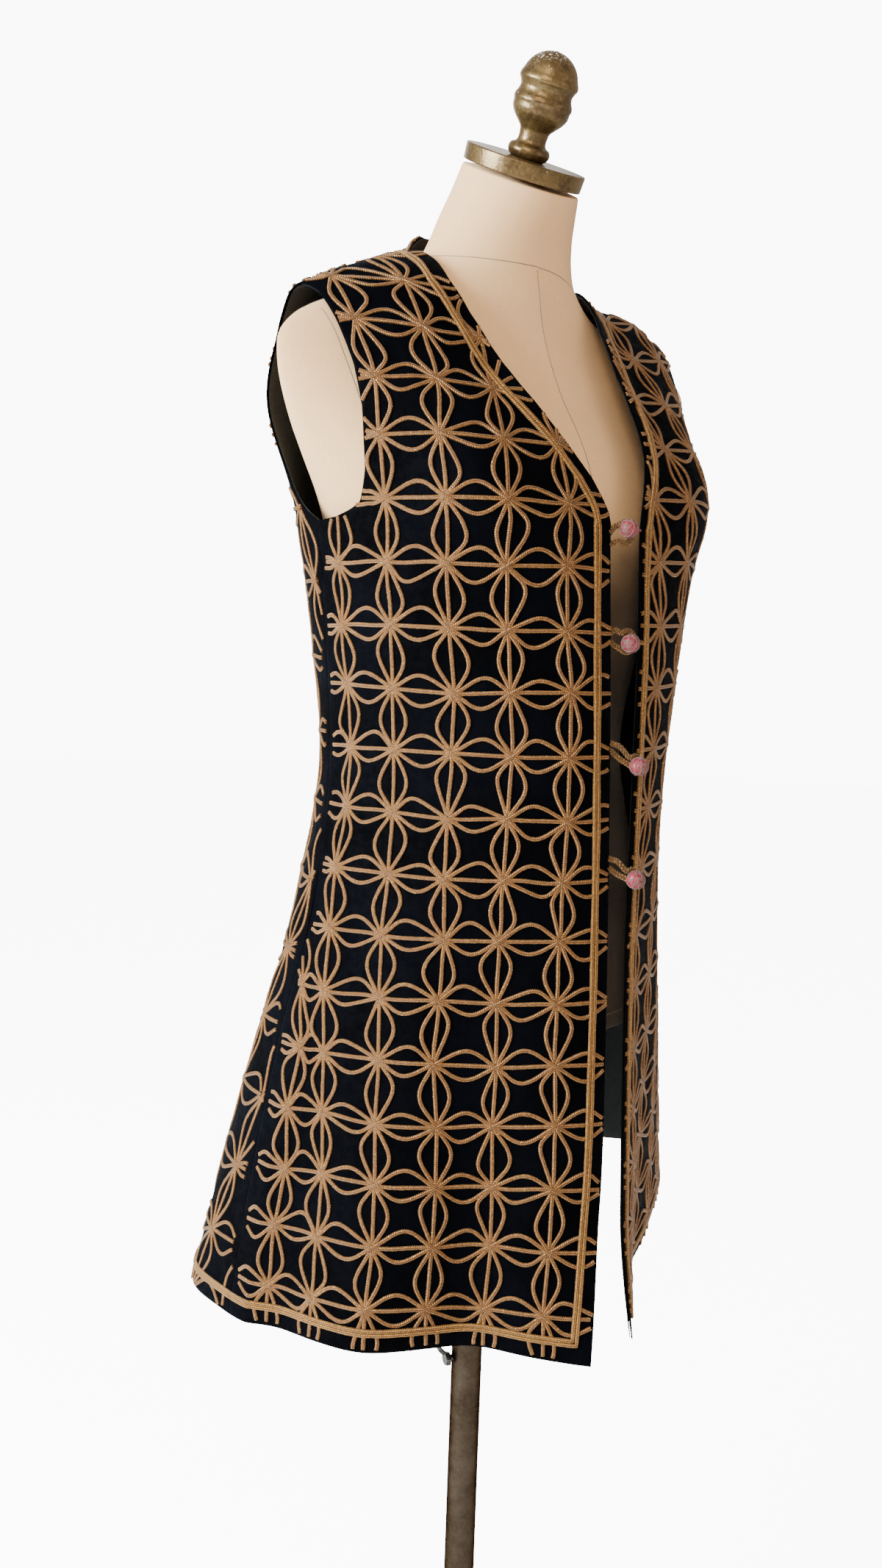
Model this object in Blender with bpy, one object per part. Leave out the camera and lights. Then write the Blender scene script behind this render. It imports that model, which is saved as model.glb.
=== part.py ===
"""Long sleeveless velvet vest, worn by a limbless dress form on its stand.

Metres, +Z up. The front faces -Y and the wearer's right side is at -X. The floor under the
pole is the origin. Each cut piece of cloth is a closed wall of its own. The walls share one
shape: horizontal rings below the arms, and columns that rise and arch over the shoulder
above them. What lies on a piece is made from the same points, moved out.
"""
import math

import bpy
import bmesh
import numpy as np

# ---------------------------------------------------------------- sizes of the vest
HEM_Z = 0.492            # hem above the floor
ARM_Z = 1.148            # lowest point of the armholes
SHOULDER_Y = 0.012       # shoulder seam, behind the pole's line
VELVET = (-0.0016, 0.0)          # outer cloth wall, measured along the outward normal
LINING = (-0.0030, -0.0020)      # lining wall, 0.4 mm inside the velvet
BORDER = (0.0004, 0.0020)        # double couched cord that lies on the velvet
SEAM_GAP = 0.0006                # daylight between two sewn pieces
BORDER_IN, BORDER_WIDE = 0.009, 0.0085      # border from the front edge, and its width
BORDER_IN_NECK = 0.014                      # the same at the side of the neck
HEM_BORDER_UP = 0.015                       # border above the hem

# height, half width, front depth, back depth, superellipse powers of the right front, left
# front and back, and the girths from the centre front to the right and left side seams
RINGS = np.array([
    (0.492, 0.240, 0.196, 0.188, 1.32, 1.06, 2.70, 0.338, 0.325),
    (0.600, 0.222, 0.182, 0.170, 1.36, 1.19, 2.50, 0.316, 0.305),
    (0.720, 0.198, 0.170, 0.148, 1.42, 1.37, 2.35, 0.289, 0.285),
    (0.840, 0.172, 0.162, 0.127, 1.52, 1.58, 2.25, 0.2595, 0.262),
    (0.950, 0.155, 0.158, 0.114, 1.64, 1.90, 2.20, 0.2555, 0.257),
    (1.050, 0.165, 0.157, 0.116, 1.78, 2.04, 2.20, 0.2580, 0.262),
    (1.148, 0.181, 0.156, 0.124, 1.92, 1.98, 2.20, 0.2640, 0.266)])
# girths of the right and left front edges from the centre line
OPENING = np.array([(0.492, 0.0275, 0.023), (0.550, 0.0185, 0.024), (0.620, 0.0090, 0.025),
                    (0.720, 0.0025, 0.026), (0.800, 0.0000, 0.027), (0.930, 0.0000, 0.028),
                    (1.050, 0.0050, 0.026), (1.157, 0.0105, 0.022), (1.240, 0.012, 0.021)])
CORNER_DROP = 0.010      # how far the fronts droop at their lower corners
# top of the shoulder, from the centre out
SHOULDER_TOP = np.array([(0.00, 1.412), (0.05, 1.401), (0.065, 1.391), (0.085, 1.374),
                         (0.12, 1.363), (0.16, 1.348), (0.197, 1.330), (0.26, 1.273)])
# edges above the armpit line: share of the climb to the shoulder, girth from the centre
V_NECK = {-1: np.array([(0, .0105), (.05, .0095), (.1, .0100), (.143, .0130), (.2, .0190),
                        (.27, .032), (.338, .0455), (.412, .059), (.511, .073), (.6, .081),
                        (.714, .086), (1, .087)]),
          1: np.array([(0, .0215), (.05, .023), (.1, .026), (.143, .030), (.2, .037),
                       (.27, .046), (.338, .051), (.412, .053), (.511, .055), (.6, .058),
                       (.714, .066), (1, .085)])}
ARM_FRONT = np.array([(0, .262), (.025, .240), (.06, .2235), (.09, .213), (.2, .2025),
                      (.38, .1915), (.5, .188), (.66, .188), (.81, .190), (1, .197)])
NECK_BACK = np.array([(0, 0), (.58, 0), (.66, .045), (.77, .066), (.89, .079), (1, .087)])
NECK_LIFT = 0.036          # how far the back's neck edge stands up behind the neck
ARM_BACK = np.array([(0, .231), (.025, .216), (.06, .204), (.09, .198), (.2, .192),
                     (.38, .193), (.5, .196), (.66, .199), (.81, .200), (1, .199)])
CLIMB = (.03, .07, .12, .19, .28, .39, .49, .58, .66, .77, .89, 1.0)      # rows above the armpit
# superellipse power of a front's column by girth; the chest is flatter in the middle
FRONT_POWER = np.array([(0.0, 1.22), (0.08, 1.24), (0.15, 1.50), (0.30, 1.50)])
FULL_POWER, BACK_POWER = 1.53, 2.15
# the left shoulder slopes more beside the neck: drop, middle and spread across, heights
LEFT_DROP, DROP_AT, DROP_SPREAD, DROP_Z = 0.016, 0.085, 0.045, (1.27, 1.33, 1.37, 1.40)
# lift and flare of the left hem at the side seam, and their spread in share of half the girth
HEM_LIFT, HEM_FLARE, LIFT_AT, LIFT_SPREAD = 0.045, (0.015, 0.020), 0.47, 0.26

# soft folds below the waist: side (-1 right, 1 left), place as a share of the half girth,
# spread, push at the hem, height where the fold dies out
FOLDS = ((-1, 0.18, 0.055, -0.014, 0.87), (-1, 0.31, 0.050, 0.010, 0.92),
         (-1, 0.43, 0.045, -0.010, 0.98), (-1, 0.60, 0.060, 0.010, 0.90),
         (-1, 0.80, 0.060, -0.008, 0.84), (-1, 0.00, 0.070, 0.016, 0.60),
         (1, 0.16, 0.055, -0.010, 0.84), (1, 0.33, 0.060, 0.006, 0.90),
         (1, 0.56, 0.050, -0.009, 0.88), (1, 0.70, 0.060, 0.009, 0.92),
         (1, 0.88, 0.050, -0.006, 0.80), (1, 0.00, 0.060, 0.012, 0.58))
# fullness: piece, side (0 both), girth from its centre, height, spreads, push
FULLNESS = (("front", -1, 0.110, 1.185, 0.050, 0.055, 0.008),
            ("front", 1, 0.115, 1.190, 0.055, 0.055, 0.017),
            ("back", 0, 0.190, 1.250, 0.050, 0.060, 0.021))

# ---------------------------------------------------------------- buttons and loops
BALL_R = 0.0078
STUB = 0.0103              # middle of a lower ball to the foot of its shank
SHANK_R = 0.0013
LOOP_R = 0.0021
BALLS = ((0.001, 1.148), (0.0073, 1.059), (0.0160, 0.962), (0.0150, 0.871))   # x and height
BALL_Y = (-0.1635, -0.1650, -0.1725, -0.1760)

# ---------------------------------------------------------------- dress form and stand
# centre y, centre z, forward tilt in degrees, half width, front, back, powers front, back
FORM = np.array([
    (0.000, 0.7300, 0, 0.1530, 0.123, 0.1140, 2.1, 2.2),
    (0.000, 0.7340, 0, 0.1580, 0.128, 0.1190, 2.1, 2.2),
    (0.000, 0.7600, 0, 0.1590, 0.129, 0.1200, 2.0, 2.2),
    (0.000, 0.8000, 0, 0.1560, 0.126, 0.1170, 2.0, 2.2),
    (0.000, 0.8500, 0, 0.1470, 0.120, 0.1100, 2.0, 2.2),
    (0.000, 0.9000, 0, 0.1340, 0.114, 0.0990, 2.0, 2.2),
    (0.000, 0.9500, 0, 0.1240, 0.107, 0.0910, 2.0, 2.2),
    (0.000, 0.9900, 0, 0.1240, 0.107, 0.0910, 2.0, 2.2),
    (0.000, 1.0400, 0, 0.1330, 0.115, 0.0960, 2.0, 2.2),
    (0.000, 1.0900, 0, 0.1460, 0.124, 0.1010, 2.0, 2.2),
    (0.000, 1.1350, 0, 0.1580, 0.129, 0.1050, 1.9, 2.1),
    (0.000, 1.1700, 0, 0.1710, 0.125, 0.1060, 1.75, 2.0),
    (0.000, 1.2000, 0, 0.1900, 0.115, 0.1060, 1.55, 1.8),
    (0.000, 1.2250, 0, 0.2050, 0.101, 0.1050, 1.43, 1.65),
    (0.000, 1.2500, 0, 0.2160, 0.083, 0.1020, 1.40, 1.52),
    (0.001, 1.2700, 0, 0.2200, 0.072, 0.0970, 1.38, 1.46),
    (0.002, 1.2880, 0, 0.2190, 0.064, 0.0900, 1.36, 1.44),
    (0.004, 1.3020, 0, 0.2080, 0.060, 0.0840, 1.38, 1.46),
    (0.006, 1.3130, 0, 0.1920, 0.058, 0.0790, 1.42, 1.52),
    (0.007, 1.3240, 0, 0.1680, 0.056, 0.0750, 1.50, 1.68),
    (0.008, 1.3350, 0, 0.1400, 0.055, 0.0700, 1.60, 1.75),
    (0.009, 1.3450, 0, 0.1180, 0.054, 0.0660, 1.70, 1.80),
    (0.010, 1.3540, 1, 0.0990, 0.053, 0.0630, 1.85, 1.90),
    (0.010, 1.3640, 3, 0.0830, 0.052, 0.0600, 1.95, 2.00),
    (0.009, 1.3750, 6, 0.0720, 0.051, 0.0560, 2.00, 2.00),
    (0.006, 1.3880, 10, 0.0655, 0.050, 0.0550, 2.00, 2.00),
    (0.001, 1.4030, 15, 0.0605, 0.050, 0.0540, 2.00, 2.00),
    (-0.007, 1.4200, 20, 0.0555, 0.050, 0.0520, 2.00, 2.00),
    (-0.0145, 1.4370, 25, 0.0515, 0.050, 0.0505, 2.00, 2.00),
    (-0.0158, 1.4398, 25, 0.0505, 0.049, 0.0495, 2.00, 2.00)])
NECK_TILT = 25.0
PLATE_AT = (-0.0190, 1.4495)      # middle of the cap plate, y and z
PLATE_R, PLATE_T = 0.0515, 0.0135
# height above the plate and radius of the turned finial
FINIAL = ((0.0003, 0.0001), (0.0003, 0.0150), (0.0026, 0.0166), (0.0068, 0.0178),
          (0.0104, 0.0162), (0.0122, 0.0128), (0.0176, 0.0122), (0.0230, 0.0132),
          (0.0264, 0.0160), (0.0316, 0.0205), (0.0370, 0.0235), (0.0415, 0.0243),
          (0.0455, 0.0239), (0.0495, 0.0226), (0.0530, 0.0222), (0.0565, 0.0235),
          (0.0600, 0.0247), (0.0645, 0.0238), (0.0706, 0.0208), (0.0768, 0.0158),
          (0.0812, 0.0085), (0.0830, 0.0001))
TUBE_R, INNER_TUBE_R = 0.0140, 0.0115
CLAMP_Z = 0.430
BASE = ((0.0, 0.0001), (0.0, 0.196), (0.003, 0.200), (0.010, 0.200), (0.015, 0.194),
        (0.021, 0.150), (0.027, 0.090), (0.034, 0.044), (0.044, 0.026), (0.056, 0.021),
        (0.060, 0.0195), (0.060, 0.0001))

MATERIALS = {
    "velvet": ((0.006, 0.007, 0.012), 0.85, 0.0), "lining": ((0.040, 0.043, 0.047), 0.7, 0.0),
    "gold_cord": ((0.42, 0.24, 0.09), 0.45, 0.6), "pink": ((0.55, 0.03, 0.12), 0.6, 0.0),
    "linen": ((0.72, 0.62, 0.48), 0.8, 0.0), "bronze": ((0.20, 0.15, 0.09), 0.4, 0.8),
    "steel": ((0.35, 0.34, 0.32), 0.35, 0.9)}


def clear_scene():
    """Remove whatever the open file holds."""
    for item in list(bpy.data.objects):
        bpy.data.objects.remove(item)


def material(name):
    """Return the named finish, made once."""
    if name in bpy.data.materials:
        return bpy.data.materials[name]
    colour, rough, metal = MATERIALS[name]
    mat = bpy.data.materials.new(name)
    mat.use_nodes = True
    shader = mat.node_tree.nodes["Principled BSDF"]
    shader.inputs["Base Color"].default_value = (*colour, 1.0)
    shader.inputs["Roughness"].default_value = rough
    shader.inputs["Metallic"].default_value = metal
    return mat


def add_object(name, verts, faces, finish, smooth=False):
    """Make one mesh object with outward faces."""
    mesh = bpy.data.meshes.new(name)
    mesh.from_pydata([tuple(map(float, v)) for v in verts], [], faces)
    shape = bmesh.new()
    shape.from_mesh(mesh)
    bmesh.ops.recalc_face_normals(shape, faces=shape.faces)
    shape.to_mesh(mesh)
    shape.free()
    mesh.shade_smooth() if smooth else mesh.shade_flat()
    mesh.materials.append(material(finish))
    item = bpy.data.objects.new(name, mesh)
    bpy.context.scene.collection.objects.link(item)
    return item


def through(x, xs, ys):
    """Smooth curve through stations."""
    slopes = np.gradient(ys, xs)
    i = int(np.clip(np.searchsorted(xs, x) - 1, 0, len(xs) - 2))
    h = xs[i + 1] - xs[i]
    t = min(max((x - xs[i]) / h, 0.0), 1.0)
    return ((2 * t**3 - 3 * t**2 + 1) * ys[i] + (t**3 - 2 * t**2 + t) * h * slopes[i]
            + (3 * t**2 - 2 * t**3) * ys[i + 1] + (t**3 - t**2) * h * slopes[i + 1])


# ---------------------------------------------------------------- the vest's shape
RING_CACHE = {}


def half_ring(z, side):
    """Plan of one half at a height, drawn at -X: x, y and girth from the centre front."""
    key = (round(z, 5), side)
    if key not in RING_CACHE:
        use = (1, 2, 3, 4 if side < 0 else 5, 6)
        a, f, b, nf, nb = (through(z, RINGS[:, 0], RINGS[:, c]) for c in use)
        turn = np.linspace(0, math.pi, 241)
        sin, cos = np.sin(turn), np.cos(turn)
        power = np.where(cos > 0, nf, nb)
        x = -a * np.abs(sin) ** (2 / power)
        y = -np.where(cos > 0, f, b) * np.sign(cos) * np.abs(cos) ** (2 / power)
        girth = np.concatenate([[0], np.cumsum(np.hypot(np.diff(x), np.diff(y)))])
        RING_CACHE[key] = (x, y, girth)
    return RING_CACHE[key]


def left_drop(x, z):
    """How far the left shoulder lies under the right one, beside the neck."""
    if x <= 0:
        return 0.0
    fade = np.interp(z, DROP_Z, (0, 1, 1, 0))
    return LEFT_DROP * fade * math.exp(-((x - DROP_AT) / DROP_SPREAD) ** 2)


def bare_point(piece, side, u, level):
    """Point of one half, at -X, before folds: level 0-1 hem to armpit, 1-2 to the shoulder."""
    z = HEM_Z + (ARM_Z - HEM_Z) * min(level, 1.0)
    x, y, girth = half_ring(z, side)
    along = u if piece == "front" else girth[-1] - u
    px, py = np.interp(along, girth, x), np.interp(along, girth, y)
    if along < 0:
        px = -along
    if level <= 1.0:
        if side > 0:
            share = along / girth[-1]
            hill = math.exp(-((share - LIFT_AT) / LIFT_SPREAD) ** 2) * (1 - level) ** 2
            hill *= min(5 * (1 - share), 1.0)
            px, py = px - HEM_FLARE[0] * hill, py + HEM_FLARE[1] * hill
            z += HEM_LIFT * hill
        if piece == "front":
            z -= CORNER_DROP * max(1 - 2 * level, 0) ** 2 * math.exp(-(u / 0.09) ** 2)
        return np.array([px, py, z])
    top_x = u if u < 0.199 else 0.199 + (u - 0.199) * 0.3
    top_z = np.interp(top_x, SHOULDER_TOP[:, 0], SHOULDER_TOP[:, 1])
    turn = min(level - 1.0, 1.0) * math.pi / 2
    power = BACK_POWER
    if piece == "front":
        power = np.interp(u, FRONT_POWER[:, 0], FRONT_POWER[:, 1])
        power += max(FULL_POWER - power, 0.0) * min(max((level - 1.47) / 0.34, 0.0), 1.0)
    power = 2 / power
    rise, lean = math.sin(turn) ** power, max(math.cos(turn), 0.0) ** power
    px, z = px + (-top_x - px) * rise, ARM_Z + (top_z - ARM_Z) * rise
    drop = left_drop(-px * side, z)
    if piece == "back":
        inner = np.interp(level - 1.0, NECK_BACK[:, 0], NECK_BACK[:, 1])
        stand = NECK_LIFT * math.exp(-((level - 1.60) / 0.17) ** 2
                                     - (max(u - inner, 0) / 0.030) ** 2)
        return np.array([px * (1 - 2 * stand), SHOULDER_Y + (py - SHOULDER_Y) * lean
                         - 0.22 * stand, z - drop + stand])
    return np.array([px, SHOULDER_Y + (py - SHOULDER_Y) * lean, z - drop])


def surface(piece, side, u, level):
    """Point of the velvet's outer face, with folds and fullness; side is -1 or 1."""
    p = bare_point(piece, side, u, level)
    q = bare_point(piece, side, u + 0.002, level)
    tangent = (q - p)[:2] * (1 if piece == "front" else -1)
    out = np.array([-tangent[1], tangent[0]])
    out = out / max(np.hypot(*out), 1e-9)
    z = HEM_Z + (ARM_Z - HEM_Z) * level if level < 1.0 else p[2]
    push = 0.0
    if level < 1.0 and (piece == "front" or u > 0):
        girth = half_ring(z, side)[2][-1]
        share = (u if piece == "front" else girth - u) / girth
        for where, place, spread, amount, top in FOLDS:
            if where == side and z < top:
                fade = ((top - z) / (top - HEM_Z)) ** 1.4
                push += amount * fade * math.exp(-((share - place) / spread) ** 2)
    for what, where, place, height, wide, tall, amount in FULLNESS:
        if what == piece and where in (0, side):
            hill = math.exp(-((u - place) / wide) ** 2 - ((z - height) / tall) ** 2)
            push += amount * hill * (1 - max(level - 1.0, 0.0) ** 4)
    p[:2] += out * push
    p[0] *= -side
    return p


def normal(piece, side, u, level):
    """Outward direction of the velvet's face."""
    e = 0.004
    across = surface(piece, side, u + e, level) - surface(piece, side, max(u - e, 0), level)
    low, high = max(level - 0.012, 0.0), min(level + 0.012, 2.0)
    if low < 1.0 < high:
        low, high = (1.0, high) if level >= 1.0 else (low, 1.0)
    up = surface(piece, side, u, high) - surface(piece, side, u, low)
    n = np.cross(across, up) * (side if piece == "front" else -side)
    return n / np.linalg.norm(n)


def edges(piece, side, level):
    """Girths of a half piece's inner and outer edges at a level."""
    z = HEM_Z + (ARM_Z - HEM_Z) * min(level, 1.0)
    climb = level - 1.0
    column = 7 if side < 0 else 8
    if piece == "front":
        if level <= 1.0:
            seam = through(z, RINGS[:, 0], RINGS[:, column]) - SEAM_GAP / 2
            return through(z, OPENING[:, 0], OPENING[:, 1 if side < 0 else 2]), seam
        neck = V_NECK[side]
        spare = RINGS[-1, column] - ARM_FRONT[0, 1]
        arm = np.interp(climb, ARM_FRONT[:, 0], ARM_FRONT[:, 1]) + spare * (1 - climb) ** 8
        return np.interp(climb, neck[:, 0], neck[:, 1]), arm - SEAM_GAP / 2
    if level <= 1.0:
        seam = through(z, RINGS[:, 0], RINGS[:, column]) + SEAM_GAP / 2
        return 0.0, half_ring(z, side)[2][-1] - seam
    spare = half_ring(ARM_Z, side)[2][-1] - RINGS[-1, column] - SEAM_GAP / 2 - ARM_BACK[0, 1]
    arm = np.interp(climb, ARM_BACK[:, 0], ARM_BACK[:, 1]) + spare * (1 - climb) ** 8
    return np.interp(climb, NECK_BACK[:, 0], NECK_BACK[:, 1]), arm


def levels():
    """Row levels, the first three fitting the hem border."""
    tall = ARM_Z - HEM_Z
    rows = [0.0, HEM_BORDER_UP / tall, (HEM_BORDER_UP + BORDER_WIDE) / tall]
    rows += list(np.linspace(rows[-1], 1.0, 12)[1:])
    return rows + [1.0 + c for c in CLIMB]


def columns(piece, side, level):
    """Girths of the columns on one row; columns 1 and 2 carry the border."""
    inner, outer = edges(piece, side, level)
    if piece == "front":
        climb = max(level - 1.0, 0.0)
        first = inner + BORDER_IN + (BORDER_IN_NECK - BORDER_IN) * climb
        return [inner, first, first + BORDER_WIDE] + \
            list(np.linspace(first + BORDER_WIDE, outer, 10)[1:])
    first = inner + 0.010
    return [inner, first, first + BORDER_WIDE] + \
        list(np.linspace(first + BORDER_WIDE, outer, 8)[1:])


def half_grid(piece, side):
    """Points and outward directions of one half piece: arrays rows x columns x 3."""
    points, outs = [], []
    rows = levels()
    for level in rows:
        shoulder = level >= 2.0
        line = columns(piece, side, level)
        row = [surface(piece, side, u, level) for u in line]
        outs.append([normal(piece, side, u, level) for u in line])
        if shoulder:
            shift = -SEAM_GAP / 2 if piece == "front" else SEAM_GAP / 2
            row = [p + np.array([0, shift, 0]) for p in row]
        points.append(row)
    return np.array(points), np.array(outs)


class Sheet:
    """Grid of one cut piece, from which its wall, lining and border are made."""

    def __init__(self):
        self.points, self.outs, self.cells, self.index = [], [], {}, {}

    def add_half(self, piece, side, tag):
        """Add one half's grid, sharing points that coincide at the centre back."""
        points, outs = half_grid(piece, side)
        number = {}
        for i, j in np.ndindex(points.shape[:2]):
            key = tuple(np.round(points[i, j], 6))
            if key not in self.index:
                self.index[key] = len(self.points)
                self.points.append(points[i, j])
                direction = outs[i, j]
                if tag and abs(points[i, j][0]) < 1e-6:
                    direction = direction * np.array([0, 1, 1])
                    direction = direction / np.linalg.norm(direction)
                self.outs.append(direction)
            number[i, j] = self.index[key]
        for i in range(points.shape[0] - 1):
            for j in range(points.shape[1] - 1):
                ring = (number[i, j], number[i, j + 1], number[i + 1, j + 1], number[i + 1, j])
                self.cells[tag + str(side), i, j] = ring

    def wall(self, name, span, finish, keep=lambda i, j: True):
        """Close the chosen cells between two distances along the outward direction."""
        points, outs = np.array(self.points), np.array(self.outs)
        chosen = [ring for (_, i, j), ring in self.cells.items() if keep(i, j)]
        used = sorted({n for ring in chosen for n in ring})
        place = {n: k for k, n in enumerate(used)}
        low = points[used] + outs[used] * span[0]
        high = points[used] + outs[used] * span[1]
        faces, count, half_edges = [], len(used), {}
        for ring in chosen:
            a, b, c, d = (place[n] for n in ring)
            for tri in ((a, b, c), (a, c, d)):
                if len(set(tri)) == 3:
                    faces.append(tuple(n + count for n in tri))
                    faces.append(tri[::-1])
            for e in ((a, b), (b, c), (c, d), (d, a)):
                half_edges[e] = half_edges.get(e, 0) + 1
        for (a, b) in list(half_edges):
            if (b, a) not in half_edges:
                faces += [(a, b, b + count), (a, b + count, a + count)]
        return add_object(name, np.vstack([low, high]), faces, finish)


def build_vest():
    """Velvet walls, linings and borders of the fronts and the back."""
    for side, word in ((-1, "right"), (1, "left")):
        sheet = Sheet()
        sheet.add_half("front", side, "")
        if side == 1:
            sheet.cells = {k: ring[::-1] for k, ring in sheet.cells.items()}
        sheet.wall("front_" + word, VELVET, "velvet")
        sheet.wall("lining_front_" + word, LINING, "lining")
        sheet.wall("border_front_" + word, BORDER, "gold_cord",
                   lambda i, j: (j == 1 and i >= 1) or (i == 1 and j >= 1))
    sheet = Sheet()
    sheet.add_half("back", -1, "b")
    right = dict(sheet.cells)
    sheet.add_half("back", 1, "b")
    sheet.cells = {k: (ring if k in right else ring[::-1]) for k, ring in sheet.cells.items()}
    sheet.wall("back", VELVET, "velvet")
    sheet.wall("lining_back", LINING, "lining")
    sheet.wall("border_back_hem", BORDER, "gold_cord", lambda i, j: i == 1)


def spin(name, profile, finish, sides=48, at=(0, 0, 0), tilt=0.0, smooth=True):
    """Turned piece: profile of (height, radius) about the local Z axis."""
    verts, faces = [], []
    body = [p for p in profile if p[1] > 0.0002]
    for h, r in body:
        verts += [(r * math.cos(2 * math.pi * k / sides), r * math.sin(2 * math.pi * k / sides),
                   h) for k in range(sides)]
    for i in range(len(body) - 1):
        for k in range(sides):
            n = (k + 1) % sides
            faces.append((i * sides + k, i * sides + n, (i + 1) * sides + n, (i + 1) * sides + k))
    for end, first in ((profile[0], 0), (profile[-1], len(body) - 1)):
        tip = len(verts)
        verts.append((0, 0, end[0]))
        for k in range(sides):
            faces.append((first * sides + k, first * sides + (k + 1) % sides, tip))
    item = add_object(name, verts, faces, finish, smooth)
    item.location = at
    item.rotation_euler = (math.radians(tilt), 0, 0)
    return item


def tube_ring(name, profile, finish, sides=48):
    """Turned ring with a bore: closed profile of (height, radius)."""
    verts, faces, n = [], [], len(profile)
    for k in range(sides):
        turn = 2 * math.pi * k / sides
        verts += [(r * math.cos(turn), r * math.sin(turn), h) for h, r in profile]
    for k in range(sides):
        m = (k + 1) % sides
        faces += [(k * n + i, k * n + (i + 1) % n, m * n + (i + 1) % n, m * n + i)
                  for i in range(n)]
    return add_object(name, verts, faces, finish, True)


def sweep(name, path, radius, finish, sides=8):
    """Round rod along an open path, with flat ends."""
    path = np.array(path, dtype=float)
    tangents = np.gradient(path, axis=0)
    tangents /= np.linalg.norm(tangents, axis=1)[:, None]
    side = np.cross(tangents[0], (0.0, 1.0, 0.2))
    verts, faces = [], []
    for p, t in zip(path, tangents):
        side = side - t * np.dot(side, t)
        side /= np.linalg.norm(side)
        other = np.cross(t, side)
        for k in range(sides):
            turn = 2 * math.pi * k / sides
            verts.append(p + radius * (side * math.cos(turn) + other * math.sin(turn)))
    for i in range(len(path) - 1):
        for k in range(sides):
            n = (k + 1) % sides
            faces.append((i * sides + k, i * sides + n, (i + 1) * sides + n, (i + 1) * sides + k))
    faces.append(tuple(range(sides)))
    faces.append(tuple(range((len(path) - 1) * sides, len(path) * sides)))
    return add_object(name, verts, faces, finish, True)


def front_edge(side, z):
    """Middle of a front's cut edge at a height."""
    level = (z - HEM_Z) / (ARM_Z - HEM_Z)
    u = edges("front", side, level)[0]
    return surface("front", side, u, level) + normal("front", side, u, level) * VELVET[0] / 2


def build_fastening():
    """Ball buttons on shanks from the left front, and cord loops from the right front."""
    for n, ((x, z), y) in enumerate(zip(BALLS, BALL_Y), 1):
        centre = np.array([x, y, z])
        edge = front_edge(1, z)
        if n <= 2:
            target = edge + np.array([-0.0006, 0, 0])
        else:
            target = np.array([x + 0.004, edge[1] + 0.0, z])
        reach = target - centre
        length = np.linalg.norm(reach)
        if n > 2:
            length = STUB
        axis = reach / np.linalg.norm(reach)
        turn = [(math.pi * k / 14) for k in range(1, 14)]
        foot = math.sqrt(BALL_R ** 2 - SHANK_R ** 2)
        profile = [(-BALL_R, 0.0001)] + [(-BALL_R * math.cos(t), BALL_R * math.sin(t))
                                         for t in turn if -BALL_R * math.cos(t) < foot - 0.0002]
        profile += [(foot, SHANK_R), (length, SHANK_R), (length, 0.0001)]
        ball = spin("button_%d" % n, profile, "pink", sides=20)
        ball.rotation_mode = "QUATERNION"
        z_axis = np.array([0.0, 0.0, 1.0])
        swing = np.cross(z_axis, axis)
        angle = math.acos(max(-1.0, min(1.0, float(np.dot(z_axis, axis)))))
        swing = swing / np.linalg.norm(swing) * math.sin(angle / 2)
        ball.rotation_quaternion = (math.cos(angle / 2), *swing)
        ball.location = centre
        build_loop(n, centre)


def build_loop(n, centre):
    """One loop: out from the right front's edge, round the ball and back."""
    start = front_edge(-1, centre[2])
    start = start + np.array([0.0022, -0.0006, 0])
    around = BALL_R + LOOP_R + 0.0007
    drop = (-0.004, 0.0, 0.0125, 0.0115)[n - 1]
    spread = (0.0045, 0.0050, 0.0040, 0.0040)[n - 1]
    first = start + np.array([LOOP_R * 0.2, 0, drop + spread])
    last = start + np.array([LOOP_R * 0.2, 0, drop - spread])
    arc = np.radians(np.linspace(128, -128, 15))
    ring = [centre + around * np.array([math.cos(t), 0.0, math.sin(t)]) for t in arc]
    path = [first, first * 0.6 + ring[0] * 0.4 + np.array([0, 0, 0.001])] + ring
    path += [last * 0.6 + ring[-1] * 0.4 - np.array([0, 0, 0.001]), last]
    sweep("loop_%d" % n, path, LOOP_R, "gold_cord", 8)


def build_form():
    """Linen body of the dress form, with shoulder stumps and a tilted neck."""
    sides = 60
    verts, faces = [], []
    for cy, cz, tilt, w, f, b, nf, nb in FORM:
        lean = math.radians(tilt)
        for k in range(sides):
            turn = 2 * math.pi * k / sides
            sin, cos = math.sin(turn), math.cos(turn)
            power = 2 / (nf if cos > 0 else nb)
            x = w * math.copysign(abs(sin) ** power, sin)
            y = -(f if cos > 0 else b) * math.copysign(abs(cos) ** power, cos)
            z = cz + y * math.sin(lean)
            verts.append((x, cy + y * math.cos(lean), z - left_drop(x, z)))
    rows = len(FORM)
    for i in range(rows - 1):
        for k in range(sides):
            n = (k + 1) % sides
            faces.append((i * sides + k, i * sides + n, (i + 1) * sides + n, (i + 1) * sides + k))
    for row, (cy, cz) in ((0, FORM[0][:2]), (rows - 1, FORM[-1][:2])):
        tip = len(verts)
        verts.append((0, cy, cz))
        faces += [(row * sides + k, row * sides + (k + 1) % sides, tip) for k in range(sides)]
    add_object("form_body", verts, faces, "linen", True)


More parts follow.
